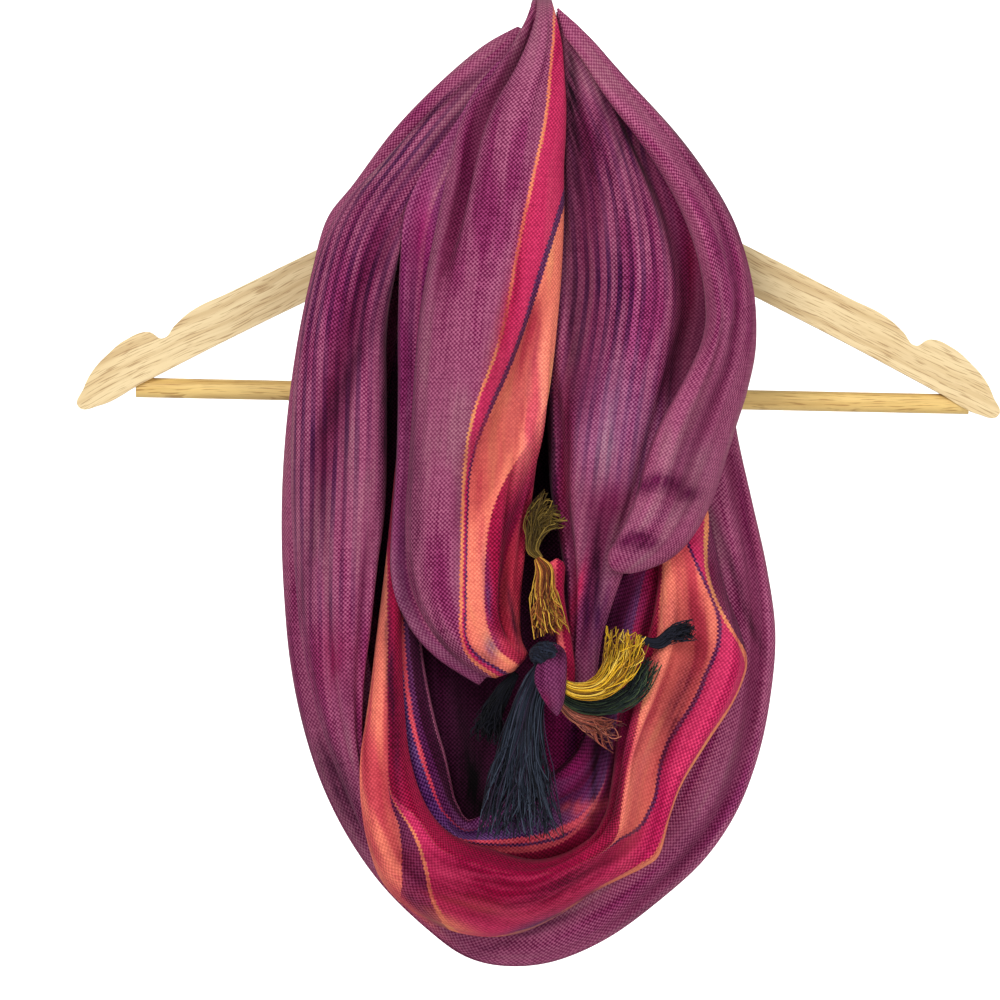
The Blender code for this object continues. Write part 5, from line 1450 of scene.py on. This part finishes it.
def make_arms():
    """The wooden arms: their outline made thick, tilted, with rounded edges."""
    outline = ARM_OUTLINE + [(-x, z) for x, z in reversed(ARM_OUTLINE)]
    curve = bpy.data.curves.new("arms_outline", "CURVE")
    curve.dimensions = "2D"
    curve.fill_mode = "BOTH"
    curve.extrude = WOOD_THICKNESS / 2 * MM
    spline = curve.splines.new("BEZIER")
    spline.bezier_points.add(len(outline) - 1)
    for point, (x, z) in zip(spline.bezier_points, outline):
        point.co = (x * MM, z * MM, 0)
        point.handle_left_type = point.handle_right_type = "AUTO"
    spline.use_cyclic_u = True
    spline.resolution_u = 12
    mesh = curve_as_mesh("arms_wood", curve)
    mesh.transform(Matrix.Translation((0, 0, WOOD_APEX_Z * MM))
                   @ Euler((math.pi / 2, WOOD_TILT, 0)).to_matrix().to_4x4())
    arms = bpy.data.objects.new("arms_wood", mesh)
    hand_in(arms, "hanger_arms", wood_material("arms_wood", ARM_GRAIN, ARM_SLOPE))
    edge = arms.modifiers.new("rounded edge", "BEVEL")
    edge.width = WOOD_EDGE_ROUND * MM
    edge.segments = 3
    edge.limit_method = "ANGLE"
    edge.angle_limit = math.radians(50)
    mesh.shade_smooth()
    mesh.set_sharp_from_angle(angle=math.radians(35))


def make_bar():
    """The round bar between the ends of the arms."""
    bar = round_rod("bar_wood", [(x, 0, z) for x, z in (BAR_LEFT_END, BAR_RIGHT_END)], BAR_RADIUS)
    hand_in(bar, "hanger_bar", wood_material("bar_wood", BAR_GRAIN, 0.0))
    bar.data.set_sharp_from_angle(angle=math.radians(50))


def make_hook():
    """The steel hook: a shank that sways over to the start of a round hook."""
    centre_z = WIRE_RADIUS - HOOK_RADIUS
    bow = [(0, HOOK_RADIUS * math.cos(math.radians(turn)),
            centre_z + HOOK_RADIUS * math.sin(math.radians(turn)))
           for turn in range(HOOK_START_TURN, HOOK_END_TURN + 1, HOOK_TURN_STEP)]
    start_y, start_z = bow[0][1:]
    shank = [(0, start_y * share + sway, SHANK_BEND_Z + (start_z - SHANK_BEND_Z) * share)
             for share, sway in ((0.25, -SHANK_SWAY), (0.5, 0.0), (0.75, SHANK_SWAY))]
    wire = [(0, 0, SHANK_FOOT_Z), (0, 0, SHANK_BEND_Z)] + shank + bow
    radii = [1.0] * (len(wire) - len(WIRE_TIP)) + WIRE_TIP
    hook = round_rod("hook_wire", wire, WIRE_RADIUS, radii, 4)
    hand_in(hook, "hanger_hook", plain_material("hook_wire", STEEL, 0.28, 1.0))


def area_light(name, place, aim, size, watts):
    """A soft square light."""
    data = bpy.data.lights.new(name, "AREA")
    data.shape = "SQUARE"
    data.size = size
    data.energy = watts
    lamp = bpy.data.objects.new(name, data)
    lamp.location = place
    way = Vector(aim) - Vector(place)
    lamp.rotation_euler = way.to_track_quat("-Z", "Y").to_euler()
    link_in(lamp)


def make_backdrop():
    """Pale floor that curves up into a wall behind the object."""
    foot_y, foot_z = WALL_Y - WALL_FOOT, FLOOR_Z + WALL_FOOT
    foot = [(foot_y + WALL_FOOT * math.sin(math.radians(turn)),
             foot_z - WALL_FOOT * math.cos(math.radians(turn))) for turn in range(10, 91, 10)]
    profile = [(-WALL_Y, FLOOR_Z), (foot_y, FLOOR_Z)] + foot + [(WALL_Y, WALL_TOP)]
    verts = [(x, y, z) for x in (-WALL_HALF_WIDTH, WALL_HALF_WIDTH) for y, z in profile]
    count = len(profile)
    faces = [(step, step + count, step + count + 1, step + 1) for step in range(count - 1)]
    backdrop = mesh_object("backdrop", verts, faces)
    backdrop.data.materials.append(plain_material("backdrop", BACKDROP_GREY, 0.9))
    link_in(backdrop)


def make_stage():
    """Backdrop, soft light and the photograph's camera."""
    make_backdrop()
    world = bpy.data.worlds.new("studio")
    world.use_nodes = True
    background = world.node_tree.nodes["Background"]
    background.inputs["Color"].default_value = (1, 1, 1, 1)
    background.inputs["Strength"].default_value = WORLD_LIGHT
    bpy.context.scene.world = world
    for name, values in LIGHTS.items():
        area_light(name, *values)

    lens = bpy.data.cameras.new("camera")
    lens.sensor_width = SENSOR_WIDTH
    lens.lens = SENSOR_WIDTH * CAMERA_AWAY / VIEW_WIDTH
    lens.clip_end = 50.0
    camera = bpy.data.objects.new("camera", lens)
    camera.location = (VIEW_CENTRE[0], -CAMERA_AWAY, VIEW_CENTRE[1])
    camera.rotation_euler = (math.pi / 2, 0, 0)
    link_in(camera)
    bpy.context.scene.camera = camera
    bpy.context.scene.view_settings.view_transform = "Standard"


make_arms()
make_bar()
make_hook()
shown = {}
for stretch_name, stretch in STRETCHES.items():
    piece = shown_cloth(stretch_name, stretch, FINISHES[stretch_name], shown)
    shown[stretch_name] = tree_of(piece)
make_knot()
for seed, (tassel_name, tassel) in enumerate(TASSELS.items(), 1):
    make_tassel(tassel_name, tassel, seed)
make_stage()
